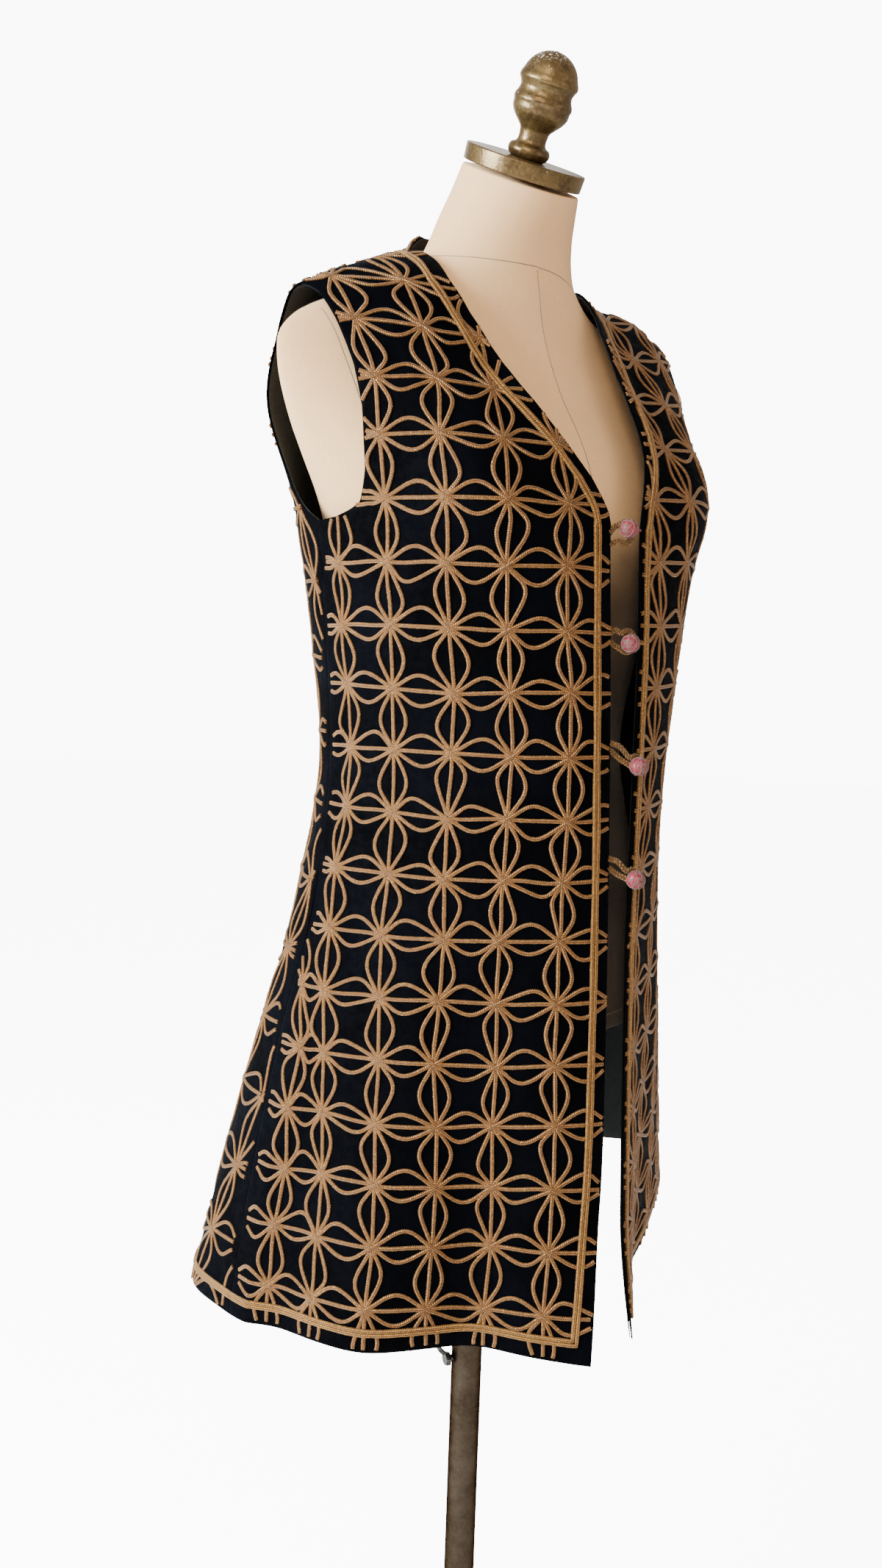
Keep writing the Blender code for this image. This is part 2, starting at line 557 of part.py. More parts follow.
def build_stand():
    """Cap plate, finial, tubes, clamp and base."""
    tilt = math.radians(NECK_TILT)
    up = np.array([0, -math.sin(tilt), math.cos(tilt)])
    middle = np.array([0, *PLATE_AT])
    half = PLATE_T / 2
    plate = ((-half, 0.0001), (-half, PLATE_R - 0.0015), (-half + 0.0015, PLATE_R),
             (half - 0.0015, PLATE_R), (half, PLATE_R - 0.0015), (half, 0.0001))
    spin("neck_plate", plate, "bronze", 64, middle, NECK_TILT)
    spin("finial", FINIAL, "bronze", 48, middle + up * half, NECK_TILT)
    top = FORM[0][1] - 0.0003
    spin("pole_lower", ((0.0603, 0.0001), (0.0603, TUBE_R), (CLAMP_Z - 0.0003, TUBE_R),
                        (CLAMP_Z - 0.0003, 0.0001)), "bronze", 40)
    spin("pole_upper", ((CLAMP_Z + 0.0003, 0.0001), (CLAMP_Z + 0.0003, INNER_TUBE_R),
                        (top, INNER_TUBE_R), (top, 0.0001)), "bronze", 40)
    spin("base", BASE, "bronze", 72)
    build_clamp()


def build_clamp():
    """Clamp collar at the top of the lower tube, its bent lever and its bolt."""
    low, high, bore, out = CLAMP_Z - 0.0095, CLAMP_Z + 0.026, 0.0004, 0.0225
    tube_ring("clamp_collar", ((low, TUBE_R + bore), (low, 0.0215), (low + 0.0010, out),
                               (CLAMP_Z - 0.002, out), (CLAMP_Z + 0.002, 0.0185),
                               (high, 0.0175), (high, TUBE_R + bore)), "bronze")
    bolt = Hexagon("clamp_bolt", (-0.0219, 0.0052, 0.3940))
    bolt.build()
    path = [(-0.0310, 0.0020, 0.437), (-0.0335, 0.0020, 0.429), (-0.0337, 0.0022, 0.420),
            (-0.0318, 0.0026, 0.412), (-0.0280, 0.0032, 0.4050), (-0.0240, 0.0038, 0.4012)]
    sweep("clamp_lever", path, 0.0021, "steel", 10)


class Hexagon:
    """Hex head with a short round shaft that points at the pole."""

    def __init__(self, name, at):
        self.name, self.at = name, np.array(at)
        self.across, self.thick, self.shaft_r, self.shaft = 0.0112, 0.0046, 0.0030, 0.0032

    def build(self):
        """Make the head and shaft as one turned body with six sides."""
        verts, faces = [], []
        axis = np.array([self.at[0], self.at[1], 0.0])
        axis = -axis / np.linalg.norm(axis)
        side = np.cross(axis, (0, 0, 1.0))
        outline = ((0.0, self.across / math.sqrt(3)), (self.thick, self.across / math.sqrt(3)),
                   (self.thick, self.shaft_r), (self.thick + self.shaft, self.shaft_r))
        for h, r in outline:
            for k in range(6):
                turn = math.pi * k / 3
                verts.append(self.at + axis * h + side * r * math.cos(turn)
                             + np.array([0, 0, 1.0]) * r * math.sin(turn))
        for i in range(3):
            for k in range(6):
                n = (k + 1) % 6
                faces.append((i * 6 + k, i * 6 + n, (i + 1) * 6 + n, (i + 1) * 6 + k))
        faces += [tuple(range(6)), tuple(range(18, 24))]
        add_object(self.name, verts, faces, "steel")


def main():
    """Build every piece."""
    clear_scene()
    build_vest()
    build_fastening()
    build_form()
    build_stand()


main()
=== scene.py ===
"""Embroidered folk vest on its limbless dress form and stand.

The vest is laid out as a cutter would: every point of the cloth is found from its girth (metres
from the centre front or centre back) and its run (metres up the cloth). The lattice of couched
cords, the borders, the lining and the velvet all follow that one layout, so they hang together.
"""
import logging
import math
from dataclasses import dataclass, field
from enum import Enum, IntEnum
from functools import cached_property
from itertools import product
from typing import Callable

import bmesh
import bpy
import numpy as np
from mathutils import Matrix, Vector


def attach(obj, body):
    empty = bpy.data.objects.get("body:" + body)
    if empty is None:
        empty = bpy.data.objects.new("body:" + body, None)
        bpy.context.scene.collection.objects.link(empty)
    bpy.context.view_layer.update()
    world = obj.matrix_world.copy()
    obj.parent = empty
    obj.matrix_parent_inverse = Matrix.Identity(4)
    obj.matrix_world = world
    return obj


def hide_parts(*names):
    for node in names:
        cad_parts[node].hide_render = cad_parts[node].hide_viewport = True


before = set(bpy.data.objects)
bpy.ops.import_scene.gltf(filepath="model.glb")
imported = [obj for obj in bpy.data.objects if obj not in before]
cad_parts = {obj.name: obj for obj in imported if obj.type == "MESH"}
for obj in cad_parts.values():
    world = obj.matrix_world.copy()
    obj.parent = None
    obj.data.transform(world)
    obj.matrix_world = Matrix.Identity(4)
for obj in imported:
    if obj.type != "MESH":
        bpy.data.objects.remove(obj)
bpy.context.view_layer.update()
log = logging.getLogger("vest")

Array = np.ndarray
Colour = tuple[float, float, float]
Item = bpy.types.Object
Node = bpy.types.Node
Socket = bpy.types.NodeSocket
Tree = bpy.types.NodeTree


class Side(IntEnum):
    """Half of the vest, by the sign of its X."""

    RIGHT = -1
    LEFT = 1


class Panel(Enum):
    """Cut piece of the vest."""

    FRONT = "front"
    BACK = "back"


# ------------------------------------------------------------------ layout tables of the vest
ARMPIT_RUN = 0.656  # from the hem up to the armholes
LEVEL_RUN = 0.62  # about what one level measures up the cloth, for the UV map
GIRTH_STEP = 0.0015  # between the columns of the grid that the cloth is worked out on
# height, half width, front depth, back depth, superellipse powers of the right front, left
# front and back, and the girths from the centre front to the right and left side seams
RINGS = np.array([
    (.492, .24, .196, .188, 1.32, 1.06, 2.7, .338, .325),
    (.6, .222, .182, .17, 1.36, 1.19, 2.5, .316, .305),
    (.72, .198, .17, .148, 1.42, 1.37, 2.35, .289, .285),
    (.84, .172, .162, .127, 1.52, 1.58, 2.25, .2595, .262),
    (.95, .155, .158, .114, 1.64, 1.9, 2.2, .2555, .257),
    (1.05, .165, .157, .116, 1.78, 2.04, 2.2, .258, .262),
    (1.148, .181, .156, .124, 1.92, 1.98, 2.2, .264, .266)])
# height, girths of the right and left front edges from the centre line
OPENING = np.array([
    (.492, .0275, .023), (.55, .0185, .024), (.62, .009, .025), (.72, .0025, .026), (.8, .0, .027),
    (.93, .0, .028), (1.05, .005, .026), (1.157, .0105, .022), (1.24, .012, .021)])
# top of the shoulder: distance from the centre, height
SHOULDER_TOP = np.array([
    (.0, 1.412), (.05, 1.401), (.065, 1.391), (.085, 1.374), (.12, 1.363), (.16, 1.348),
    (.197, 1.33), (.26, 1.273)])
# edges above the armpit line: share of the climb to the shoulder, girth from the centre
V_NECK = {
    Side.RIGHT: np.array([
        (0, .0105), (.05, .0095), (.1, .01), (.143, .013), (.2, .019), (.27, .032), (.338, .0455),
        (.412, .059), (.511, .073), (.6, .081), (.714, .086), (1, .087)]),
    Side.LEFT: np.array([
        (0, .0215), (.05, .023), (.1, .026), (.143, .03), (.2, .037), (.27, .046), (.338, .051),
        (.412, .053), (.511, .055), (.6, .058), (.714, .066), (1, .085)])}
ARM_FRONT = np.array([
    (0, .262), (.025, .24), (.06, .2235), (.09, .213), (.2, .2025), (.38, .1915), (.5, .188),
    (.66, .188), (.81, .19), (1, .197)])
NECK_BACK = np.array([(0, 0), (.58, 0), (.66, .045), (.77, .066), (.89, .079), (1, .087)])
ARM_BACK = np.array([
    (0, .231), (.025, .216), (.06, .204), (.09, .198), (.2, .192), (.38, .193), (.5, .196),
    (.66, .199), (.81, .2), (1, .199)])
# girth, superellipse power of a front's column
FRONT_POWER = np.array([(0.0, 1.22), (0.08, 1.24), (0.15, 1.50), (0.30, 1.50)])
# run up a front, girth of its lattice's first column; and the gap to its sixth column
FRONT_COLUMNS = np.array([
    (.49, .065), (.53, .0607), (.58, .0547), (.63, .0505), (.72, .0469), (.815, .0433),
    (.865, .041), (.915, .0375), (.965, .0365), (1.015, .039), (1.065, .0435), (1.115, .0485),
    (1.165, .048), (1.215, .0425), (1.262, .036), (1.31, .032), (1.36, .03)])
LEFT_COLUMNS = np.array([
    (.49, .062), (.62, .056), (.67, .049), (.78, .044), (.83, .045), (.875, .048), (.925, .0555),
    (.975, .0575), (1.03, .056), (1.075, .0565), (1.125, .049), (1.18, .041), (1.226, .029),
    (1.287, .019), (1.33, .005), (1.4, .0)])
LAST_COLUMN = np.array([
    (.47, .045), (.526, .042), (.575, .039), (.62, .0345), (.67, .0315), (.726, .0255),
    (.77, .027), (.8, .032), (.86, .0475)])
# side, place as a share of the half girth, spread, push at the hem, height where it dies out
FOLDS = ((-1, .18, .055, -.014, .87), (-1, .31, .05, .01, .92), (-1, .43, .045, -.01, .98),
         (-1, .6, .06, .01, .9), (-1, .8, .06, -.008, .84), (-1, .0, .07, .016, .6),
         (1, .16, .055, -.01, .84), (1, .33, .06, .006, .9), (1, .56, .05, -.009, .88),
         (1, .7, .06, .009, .92), (1, .88, .05, -.006, .8), (1, .0, .06, .012, .58))
# panel, side (0 both), girth from its centre, height, spreads, push
FULLNESS = ((Panel.FRONT, -1, 0.110, 1.185, 0.050, 0.055, 0.008),
            (Panel.FRONT, 1, 0.115, 1.190, 0.055, 0.055, 0.017),
            (Panel.BACK, 0, 0.190, 1.250, 0.050, 0.060, 0.021))
# soft creases, listed one by one: panel, side, girth and height of both ends, half width, depth
CREASES = (
    (Panel.FRONT, -1, .262, 1.12, .215, 1.06, .01, -.0022),
    (Panel.FRONT, -1, .25, 1.085, .205, 1.01, .012, .0014),
    (Panel.FRONT, -1, .232, 1.02, .236, .9, .009, -.003),
    (Panel.FRONT, -1, .236, .93, .262, .76, .011, -.0032),
    (Panel.FRONT, -1, .248, .905, .226, .7, .012, .002),
    (Panel.FRONT, -1, .215, .975, .165, .935, .014, -.0012),
    (Panel.FRONT, -1, .205, .86, .196, .56, .01, -.0014),
    (Panel.FRONT, -1, .158, .8, .15, .51, .016, .0016),
    (Panel.FRONT, -1, .08, .93, .03, .975, .018, .001),
    (Panel.FRONT, -1, .18, 1.3, .12, 1.24, .014, -.0012),
    (Panel.FRONT, 1, .262, 1.11, .205, 1.04, .012, -.002),
    (Panel.FRONT, 1, .215, .98, .13, .93, .014, -.0016),
    (Panel.FRONT, 1, .23, .9, .246, .7, .01, -.0026),
    (Panel.FRONT, 1, .13, .84, .12, .52, .014, .0018),
    (Panel.FRONT, 1, .19, .8, .2, .54, .012, -.0018),
    (Panel.BACK, -1, .16, 1.11, .06, 1.05, .016, -.002),
    (Panel.BACK, -1, .15, .98, .04, .955, .013, -.0026),
    (Panel.BACK, -1, .14, .95, .03, .915, .012, .0018),
    (Panel.BACK, -1, .175, .9, .19, .69, .012, -.0026),
    (Panel.BACK, -1, .05, .85, .06, .53, .016, -.0022),
    (Panel.BACK, 1, .15, 1.1, .05, 1.065, .015, -.0018),
    (Panel.BACK, 1, .155, .99, .06, .94, .013, -.0028),
    (Panel.BACK, 1, .16, .945, .05, .9, .012, .0016),
    (Panel.BACK, 1, .18, .89, .2, .66, .011, -.0024),
    (Panel.BACK, 1, .09, .83, .1, .52, .015, -.002))


def through(x: float, xs: Array, ys: Array) -> float:
    """Read a smooth curve through stations.

    Args:
        x: where to read it.
        xs: stations, rising.
        ys: values at the stations.

    Returns:
        The curve's value at x.
    """
    slopes = np.gradient(ys, xs)
    i = int(np.clip(np.searchsorted(xs, x) - 1, 0, len(xs) - 2))
    h = xs[i + 1] - xs[i]
    t = min(max((x - xs[i]) / h, 0.0), 1.0)
    return float((2 * t**3 - 3 * t**2 + 1) * ys[i] + (t**3 - 2 * t**2 + t) * h * slopes[i]
                 + (3 * t**2 - 2 * t**3) * ys[i + 1] + (t**3 - t**2) * h * slopes[i + 1])


def unit(vectors: Array) -> Array:
    """Bring every vector to length one."""
    return vectors / (np.linalg.norm(vectors, axis=-1, keepdims=True) + 1e-12)


@dataclass
class HalfCloth:
    """Hanging shape of one half of a front or of the back.

    Attributes:
        panel: front or back.
        side: the wearer's right or left.
        hem_z: height of the hem.
        arm_z: height of the lowest point of the armholes.
        seam_gap: room between two sewn pieces, below zero where they overlap.
    """

    panel: Panel
    side: Side
    hem_z: float = 0.492
    arm_z: float = 1.148
    shoulder_y: float = 0.012
    seam_gap: float = -0.0006
    corner_drop: float = 0.010
    full_power: float = 1.53
    back_power: float = 2.15
    neck_lift: float = 0.036
    lift: tuple[float, float, float, float] = (0.045, 0.015, 0.020, 0.47)
    lift_spread: float = 0.26
    girths: Array = field(default_factory=lambda: np.arange(-0.012, 0.400, GIRTH_STEP))
    levels: Array = field(default_factory=lambda: np.concatenate(
        [np.linspace(0, 1, 231), np.linspace(1, 2, 151)[1:]]))

    def __post_init__(self) -> None:
        """Work out the hanging cloth on a fine grid of girths and levels."""
        self.rings: dict[float, tuple[Array, Array, Array]] = {}
        points = np.array([self.row(level) for level in self.levels])
        across = np.gradient(points, axis=1)
        up = np.gradient(points, axis=0)
        out = np.cross(across, up) * (self.side if self.panel is Panel.FRONT else -self.side)
        out = unit(out)
        self.points = points + out * self.creases(points)[:, :, None]
        self.outs = out
        steps = np.linalg.norm(np.diff(points, axis=0), axis=2)
        above = self.levels[1:, None] > 1.0
        rise = np.where(above, steps, np.diff(self.levels)[:, None] * (self.arm_z - self.hem_z))
        self.runs = np.concatenate([np.zeros((1, len(self.girths))), np.cumsum(rise, axis=0)])
        self.runs += self.hem_z

    def ring(self, z: float) -> tuple[Array, Array, Array]:
        """Plan of this half at a height, drawn at -X: x, y and girth from the centre front."""
        key = round(z, 5)
        if key not in self.rings:
            columns = (1, 2, 3, 4 if self.side < 0 else 5, 6)
            a, f, b, nf, nb = (through(z, RINGS[:, 0], RINGS[:, c]) for c in columns)
            turn = np.linspace(0, math.pi, 241)
            sin, cos = np.sin(turn), np.cos(turn)
            power = np.where(cos > 0, nf, nb)
            x = -a * np.abs(sin) ** (2 / power)
            y = -np.where(cos > 0, f, b) * np.sign(cos) * np.abs(cos) ** (2 / power)
            girth = np.concatenate([[0], np.cumsum(np.hypot(np.diff(x), np.diff(y)))])
            self.rings[key] = (x, y, girth)
        return self.rings[key]

    def bare(self, us: Array, level: float) -> Array:
        """Points at -X before folds, at a level: 0 to 1 hem to armpit, 1 to 2 to the shoulder."""
        front = self.panel is Panel.FRONT
        height = self.hem_z + (self.arm_z - self.hem_z) * min(level, 1.0)
        x, y, girth = self.ring(height)
        along = us if front else girth[-1] - us
        px, py = np.interp(along, girth, x), np.interp(along, girth, y)
        px = np.where(along < 0, -along, px)
        px = np.where(along > girth[-1], along - girth[-1], px)
        z = np.full(len(us), height)
        if level <= 1.0:
            if self.side > 0:
                up, flare_x, flare_y, place = self.lift
                share = along / girth[-1]
                hill = np.exp(-((share - place) / self.lift_spread) ** 2) * (1 - level) ** 2
                hill = hill * np.clip(5 * (1 - share), 0.0, 1.0)
                px, py, z = px - flare_x * hill, py + flare_y * hill, z + up * hill
            if front:
                z = z - self.corner_drop * max(1 - 2 * level, 0) ** 2 * np.exp(-(us / 0.09) ** 2)
            return np.stack([px, py, z], axis=-1)
        top_x = np.where(us < 0.199, us, 0.199 + (us - 0.199) * 0.3)
        top_z = np.interp(top_x, SHOULDER_TOP[:, 0], SHOULDER_TOP[:, 1])
        turn = min(level - 1.0, 1.0) * math.pi / 2
        power = np.full(len(us), self.back_power)
        if front:
            power = np.interp(us, FRONT_POWER[:, 0], FRONT_POWER[:, 1])
            share = min(max((level - 1.47) / 0.34, 0.0), 1.0)
            power = power + np.maximum(self.full_power - power, 0.0) * share
        rise = math.sin(turn) ** (2 / power)
        lean = max(math.cos(turn), 0.0) ** (2 / power)
        px = px + (-top_x - px) * rise
        z = self.arm_z + (top_z - self.arm_z) * rise
        drop = shoulder_drop(-px * self.side, z)
        if not front:
            inner = np.interp(level - 1.0, NECK_BACK[:, 0], NECK_BACK[:, 1])
            stand = self.neck_lift * np.exp(
                -((level - 1.60) / 0.17) ** 2 - (np.maximum(us - inner, 0) / 0.030) ** 2)
            px, z = px * (1 - 2 * stand), z + stand
            lean = lean - 0.22 * stand / (py - self.shoulder_y)
        return np.stack([px, self.shoulder_y + (py - self.shoulder_y) * lean, z - drop], axis=-1)

    def row(self, level: float) -> Array:
        """Points of the velvet's face on one level, with its folds and fullness."""
        us = self.girths
        front = self.panel is Panel.FRONT
        p, q = self.bare(us, level), self.bare(us + 0.002, level)
        tangent = (q - p)[:, :2] * (1 if front else -1)
        out = np.stack([-tangent[:, 1], tangent[:, 0]], axis=-1)
        out /= np.hypot(out[:, 0], out[:, 1])[:, None] + 1e-9
        z = p[:, 2]
        push = np.zeros(len(us))
        if level < 1.0:
            z = np.full(len(us), self.hem_z + (self.arm_z - self.hem_z) * level)
            girth = self.ring(float(z[0]))[2][-1]
            share = (us if front else girth - us) / girth
            for where, place, spread, amount, top in FOLDS:
                if where == self.side and z[0] < top:
                    fade = ((top - z[0]) / (top - self.hem_z)) ** 1.4
                    push += amount * fade * np.exp(-((share - place) / spread) ** 2)
            if not front:
                push *= np.clip(us / 0.004, 0.0, 1.0)
        for what, where, place, height, wide, tall, amount in FULLNESS:
            if what is self.panel and where in (0, self.side):
                hill = np.exp(-((us - place) / wide) ** 2 - ((z - height) / tall) ** 2)
                push += amount * hill * (1 - max(level - 1.0, 0.0) ** 4)
        p[:, :2] += out * push[:, None]
        p[:, 0] *= -self.side
        return p

    def creases(self, points: Array) -> Array:
        """Depth of the small creases at each point of the grid."""
        u, z = np.broadcast_arrays(self.girths[None, :], points[:, :, 2])
        depth = np.zeros(u.shape)
        for what, where, u0, z0, u1, z1, wide, amount in CREASES:
            if what is not self.panel or where != self.side:
                continue
            du, dz = u1 - u0, z1 - z0
            t = np.clip(((u - u0) * du + (z - z0) * dz) / (du * du + dz * dz), 0, 1)
            away = np.hypot(u - u0 - t * du, z - z0 - t * dz)
            depth += amount * np.sin(np.pi * np.clip(0.12 + 0.76 * t, 0, 1)) * np.exp(
                -(away / wide) ** 2)
        return depth

    def edges(self, level: float) -> tuple[float, float]:
        """Girths of the inner and outer cut edges at a level."""
        z = self.hem_z + (self.arm_z - self.hem_z) * min(level, 1.0)
        climb = level - 1.0
        column = 7 if self.side < 0 else 8
        if self.panel is Panel.FRONT:
            if level <= 1.0:
                seam = through(z, RINGS[:, 0], RINGS[:, column]) - self.seam_gap / 2
                return through(z, OPENING[:, 0], OPENING[:, 1 if self.side < 0 else 2]), seam
            neck = V_NECK[self.side]
            spare = RINGS[-1, column] - ARM_FRONT[0, 1]
            arm = np.interp(climb, ARM_FRONT[:, 0], ARM_FRONT[:, 1]) + spare * (1 - climb) ** 8
            return float(np.interp(climb, neck[:, 0], neck[:, 1])), float(arm) - self.seam_gap / 2
        girth = self.ring(z)[2][-1]
        if level <= 1.0:
            seam = through(z, RINGS[:, 0], RINGS[:, column]) + self.seam_gap / 2
            return 0.0, float(girth - seam)
        spare = girth - RINGS[-1, column] - self.seam_gap / 2 - ARM_BACK[0, 1]
        arm = np.interp(climb, ARM_BACK[:, 0], ARM_BACK[:, 1]) + spare * (1 - climb) ** 8
        return float(np.interp(climb, NECK_BACK[:, 0], NECK_BACK[:, 1])), float(arm)

    def column_at(self, us: Array) -> tuple[Array, Array]:
        """Grid column at or before each girth, and the share of the way to the next one."""
        place = np.clip((us - self.girths[0]) / GIRTH_STEP, 0, len(self.girths) - 1.001)
        return place.astype(int), place - place.astype(int)

    def read(self, grid: Array, us: Array, levels: Array) -> Array:
        """Read a grid of vectors at girths and levels."""
        place = np.interp(levels, self.levels, np.arange(len(self.levels)))
        place = np.clip(place, 0, len(self.levels) - 1.001)
        i, s = self.column_at(us)
        j, s, t = place.astype(int), s[:, None], (place - place.astype(int))[:, None]
        return ((grid[j, i] * (1 - s) + grid[j, i + 1] * s) * (1 - t)
                + (grid[j + 1, i] * (1 - s) + grid[j + 1, i + 1] * s) * t)

    def sample(self, us: Array, levels: Array) -> tuple[Array, Array]:
        """Read points and outward directions at girths and levels.

        Args:
            us: girths.
            levels: levels, as many as us.

        Returns:
            Points and unit outward directions, n by 3.
        """
        return self.read(self.points, us, levels), unit(self.read(self.outs, us, levels))

    def run_of(self, us: Array, levels: Array) -> Array:
        """Runs up the cloth at girths and levels."""
        return self.read(self.runs[:, :, None], us, levels)[:, 0]

    def level_of(self, us: Array, runs: Array) -> Array:
        """Levels of places given by girth and run up the cloth."""
        i, s = self.column_at(us)
        low, high = (np.array([np.interp(r, self.runs[:, k], self.levels)
                               for r, k in zip(runs, i + step)]) for step in (0, 1))
        return low + (high - low) * s

    @cached_property
    def edge_table(self) -> Array:
        """Inner and outer edges' girths at every level."""
        return np.array([self.edges(level) for level in self.levels]).T


def shoulder_drop(x: Array, z: Array) -> Array:
    """How far the left shoulder lies under the right one, beside the neck."""
    fade = np.interp(z, (1.27, 1.33, 1.37, 1.40), (0, 1, 1, 0))
    return np.where(x > 0, 0.016 * fade * np.exp(-((x - 0.085) / 0.045) ** 2), 0.0)


# ------------------------------------------------------------------ node trees
class Nodes:
    """Short way to add, feed and join the nodes of one tree."""

    def __init__(self, tree: Tree) -> None:
        """Keep the tree."""
        self.tree = tree

    def add(self, kind: str, inputs: dict[str | int, object] | None = None,
            **settings: object) -> Node:
        """Add a node, set its own properties and feed its inputs."""
        node = self.tree.nodes.new(kind)
        for name, value in settings.items():
            setattr(node, name, value)
        self.put(node, inputs or {})
        return node

    def put(self, node: Node, inputs: dict[str | int, object]) -> None:
        """Give sockets of a node a value each, or join them to other sockets."""
        for label, value in inputs.items():
            socket = node.inputs[label]
            if isinstance(value, bpy.types.NodeSocket):
                self.tree.links.new(value, socket)
            elif value is not None:
                colour = socket.type == "RGBA" and len(value) == 3
                socket.default_value = (*value, 1.0) if colour else value

    def math(self, how: str, *values: object) -> Socket:
        """Work out one number from others."""
        return self.add("ShaderNodeMath", dict(enumerate(values)), operation=how).outputs[0]

    def mul(self, a: object, b: object) -> Socket:
        """Multiply two numbers."""
        return self.math("MULTIPLY", a, b)

    def mad(self, a: object, b: object, c: object) -> Socket:
        """Multiply two numbers and add a third."""
        return self.math("MULTIPLY_ADD", a, b, c)

    def vector(self, how: str, a: object, b: object = None, scale: object = None) -> Socket:
        """Work out a vector from others, or the number that their dot product is."""
        node = self.add("ShaderNodeVectorMath", {0: a, 1: b}, operation=how)
        self.put(node, {"Scale": scale} if scale is not None else {})
        return node.outputs["Value" if how == "DOT_PRODUCT" else "Vector"]

    def parts(self, vector: Socket) -> bpy.types.NodeOutputs:
        """X, Y and Z of a vector."""
        return self.add("ShaderNodeSeparateXYZ", {0: vector}).outputs

    def mix(self, share: object, a: object, b: object) -> Socket:
        """Mix two colours."""
        return self.add("ShaderNodeMix", {0: share, 6: a, 7: b}, data_type="RGBA").outputs[2]

    def band(self, value: object, low: float, high: float, to_low: float = 0.0,
             to_high: float = 1.0) -> Socket:
        """Map one range of numbers smoothly on another."""
        return self.add("ShaderNodeMapRange", {
            "Value": value, "From Min": low, "From Max": high, "To Min": to_low,
            "To Max": to_high}, interpolation_type="SMOOTHSTEP").outputs["Result"]

    def noise(self, place: object, scale: float, detail: float = 3.0,
              rough: float = 0.55) -> Socket:
        """Cloudy noise at a place."""
        return self.add("ShaderNodeTexNoise", {
            "Vector": place, "Scale": scale, "Detail": detail,
            "Roughness": rough}).outputs["Fac"]

    def bump(self, height: object, distance: float, strength: float = 1.0,
             after: object = None) -> Socket:
        """Turn a height into a normal."""
        return self.add("ShaderNodeBump", {
            "Strength": strength, "Distance": distance, "Height": height,
            "Normal": after}).outputs["Normal"]

    def place(self) -> Socket:
        """Place on the object, in metres."""
        return self.add("ShaderNodeTexCoord").outputs["Object"]

    def cord_way(self) -> bpy.types.NodeOutputs:
        """Where a point is on its cord: X across from -1 to 1, Y along in metres."""
        way = self.add("ShaderNodeAttribute", attribute_name="cord_way")
        return self.parts(way.outputs["Vector"])

    def use(self, tree: Tree, vector: object = None, **values: object) -> bpy.types.NodeOutputs:
        """Place a shared effect with its values and return its outputs."""
        node = self.add("ShaderNodeGroup", node_tree=tree)
        self.put(node, values if vector is None else {"Vector": vector, **values})
        return node.outputs


def start_group(name: str, kind: str, inputs: dict[str, object],
                outputs: str) -> tuple[Nodes, bpy.types.NodeOutputs, Node]:
    """Start a node group with named sockets.

    Args:
        name: the group's name.
        kind: shader or geometry tree.
        inputs: socket name to its default, or to its type where it has none.
        outputs: names of the outputs: numbers, or one geometry.

    Returns:
        The tree's helper, its input sockets and its output node.
    """
    tree = bpy.data.node_groups.new(name, kind)
    for label, value in inputs.items():
        typed = value if isinstance(value, str) else "Int" if isinstance(value, int) else "Float"
        socket = tree.interface.new_socket(label, in_out="INPUT", socket_type="NodeSocket" + typed)
        if typed != value:
            socket.default_value = value
    for label in outputs.split():
        typed = label if label == "Geometry" else "Float"
        tree.interface.new_socket(label, in_out="OUTPUT", socket_type="NodeSocket" + typed)
    kit = Nodes(tree)
    return kit, kit.add("NodeGroupInput").outputs, kit.add("NodeGroupOutput")


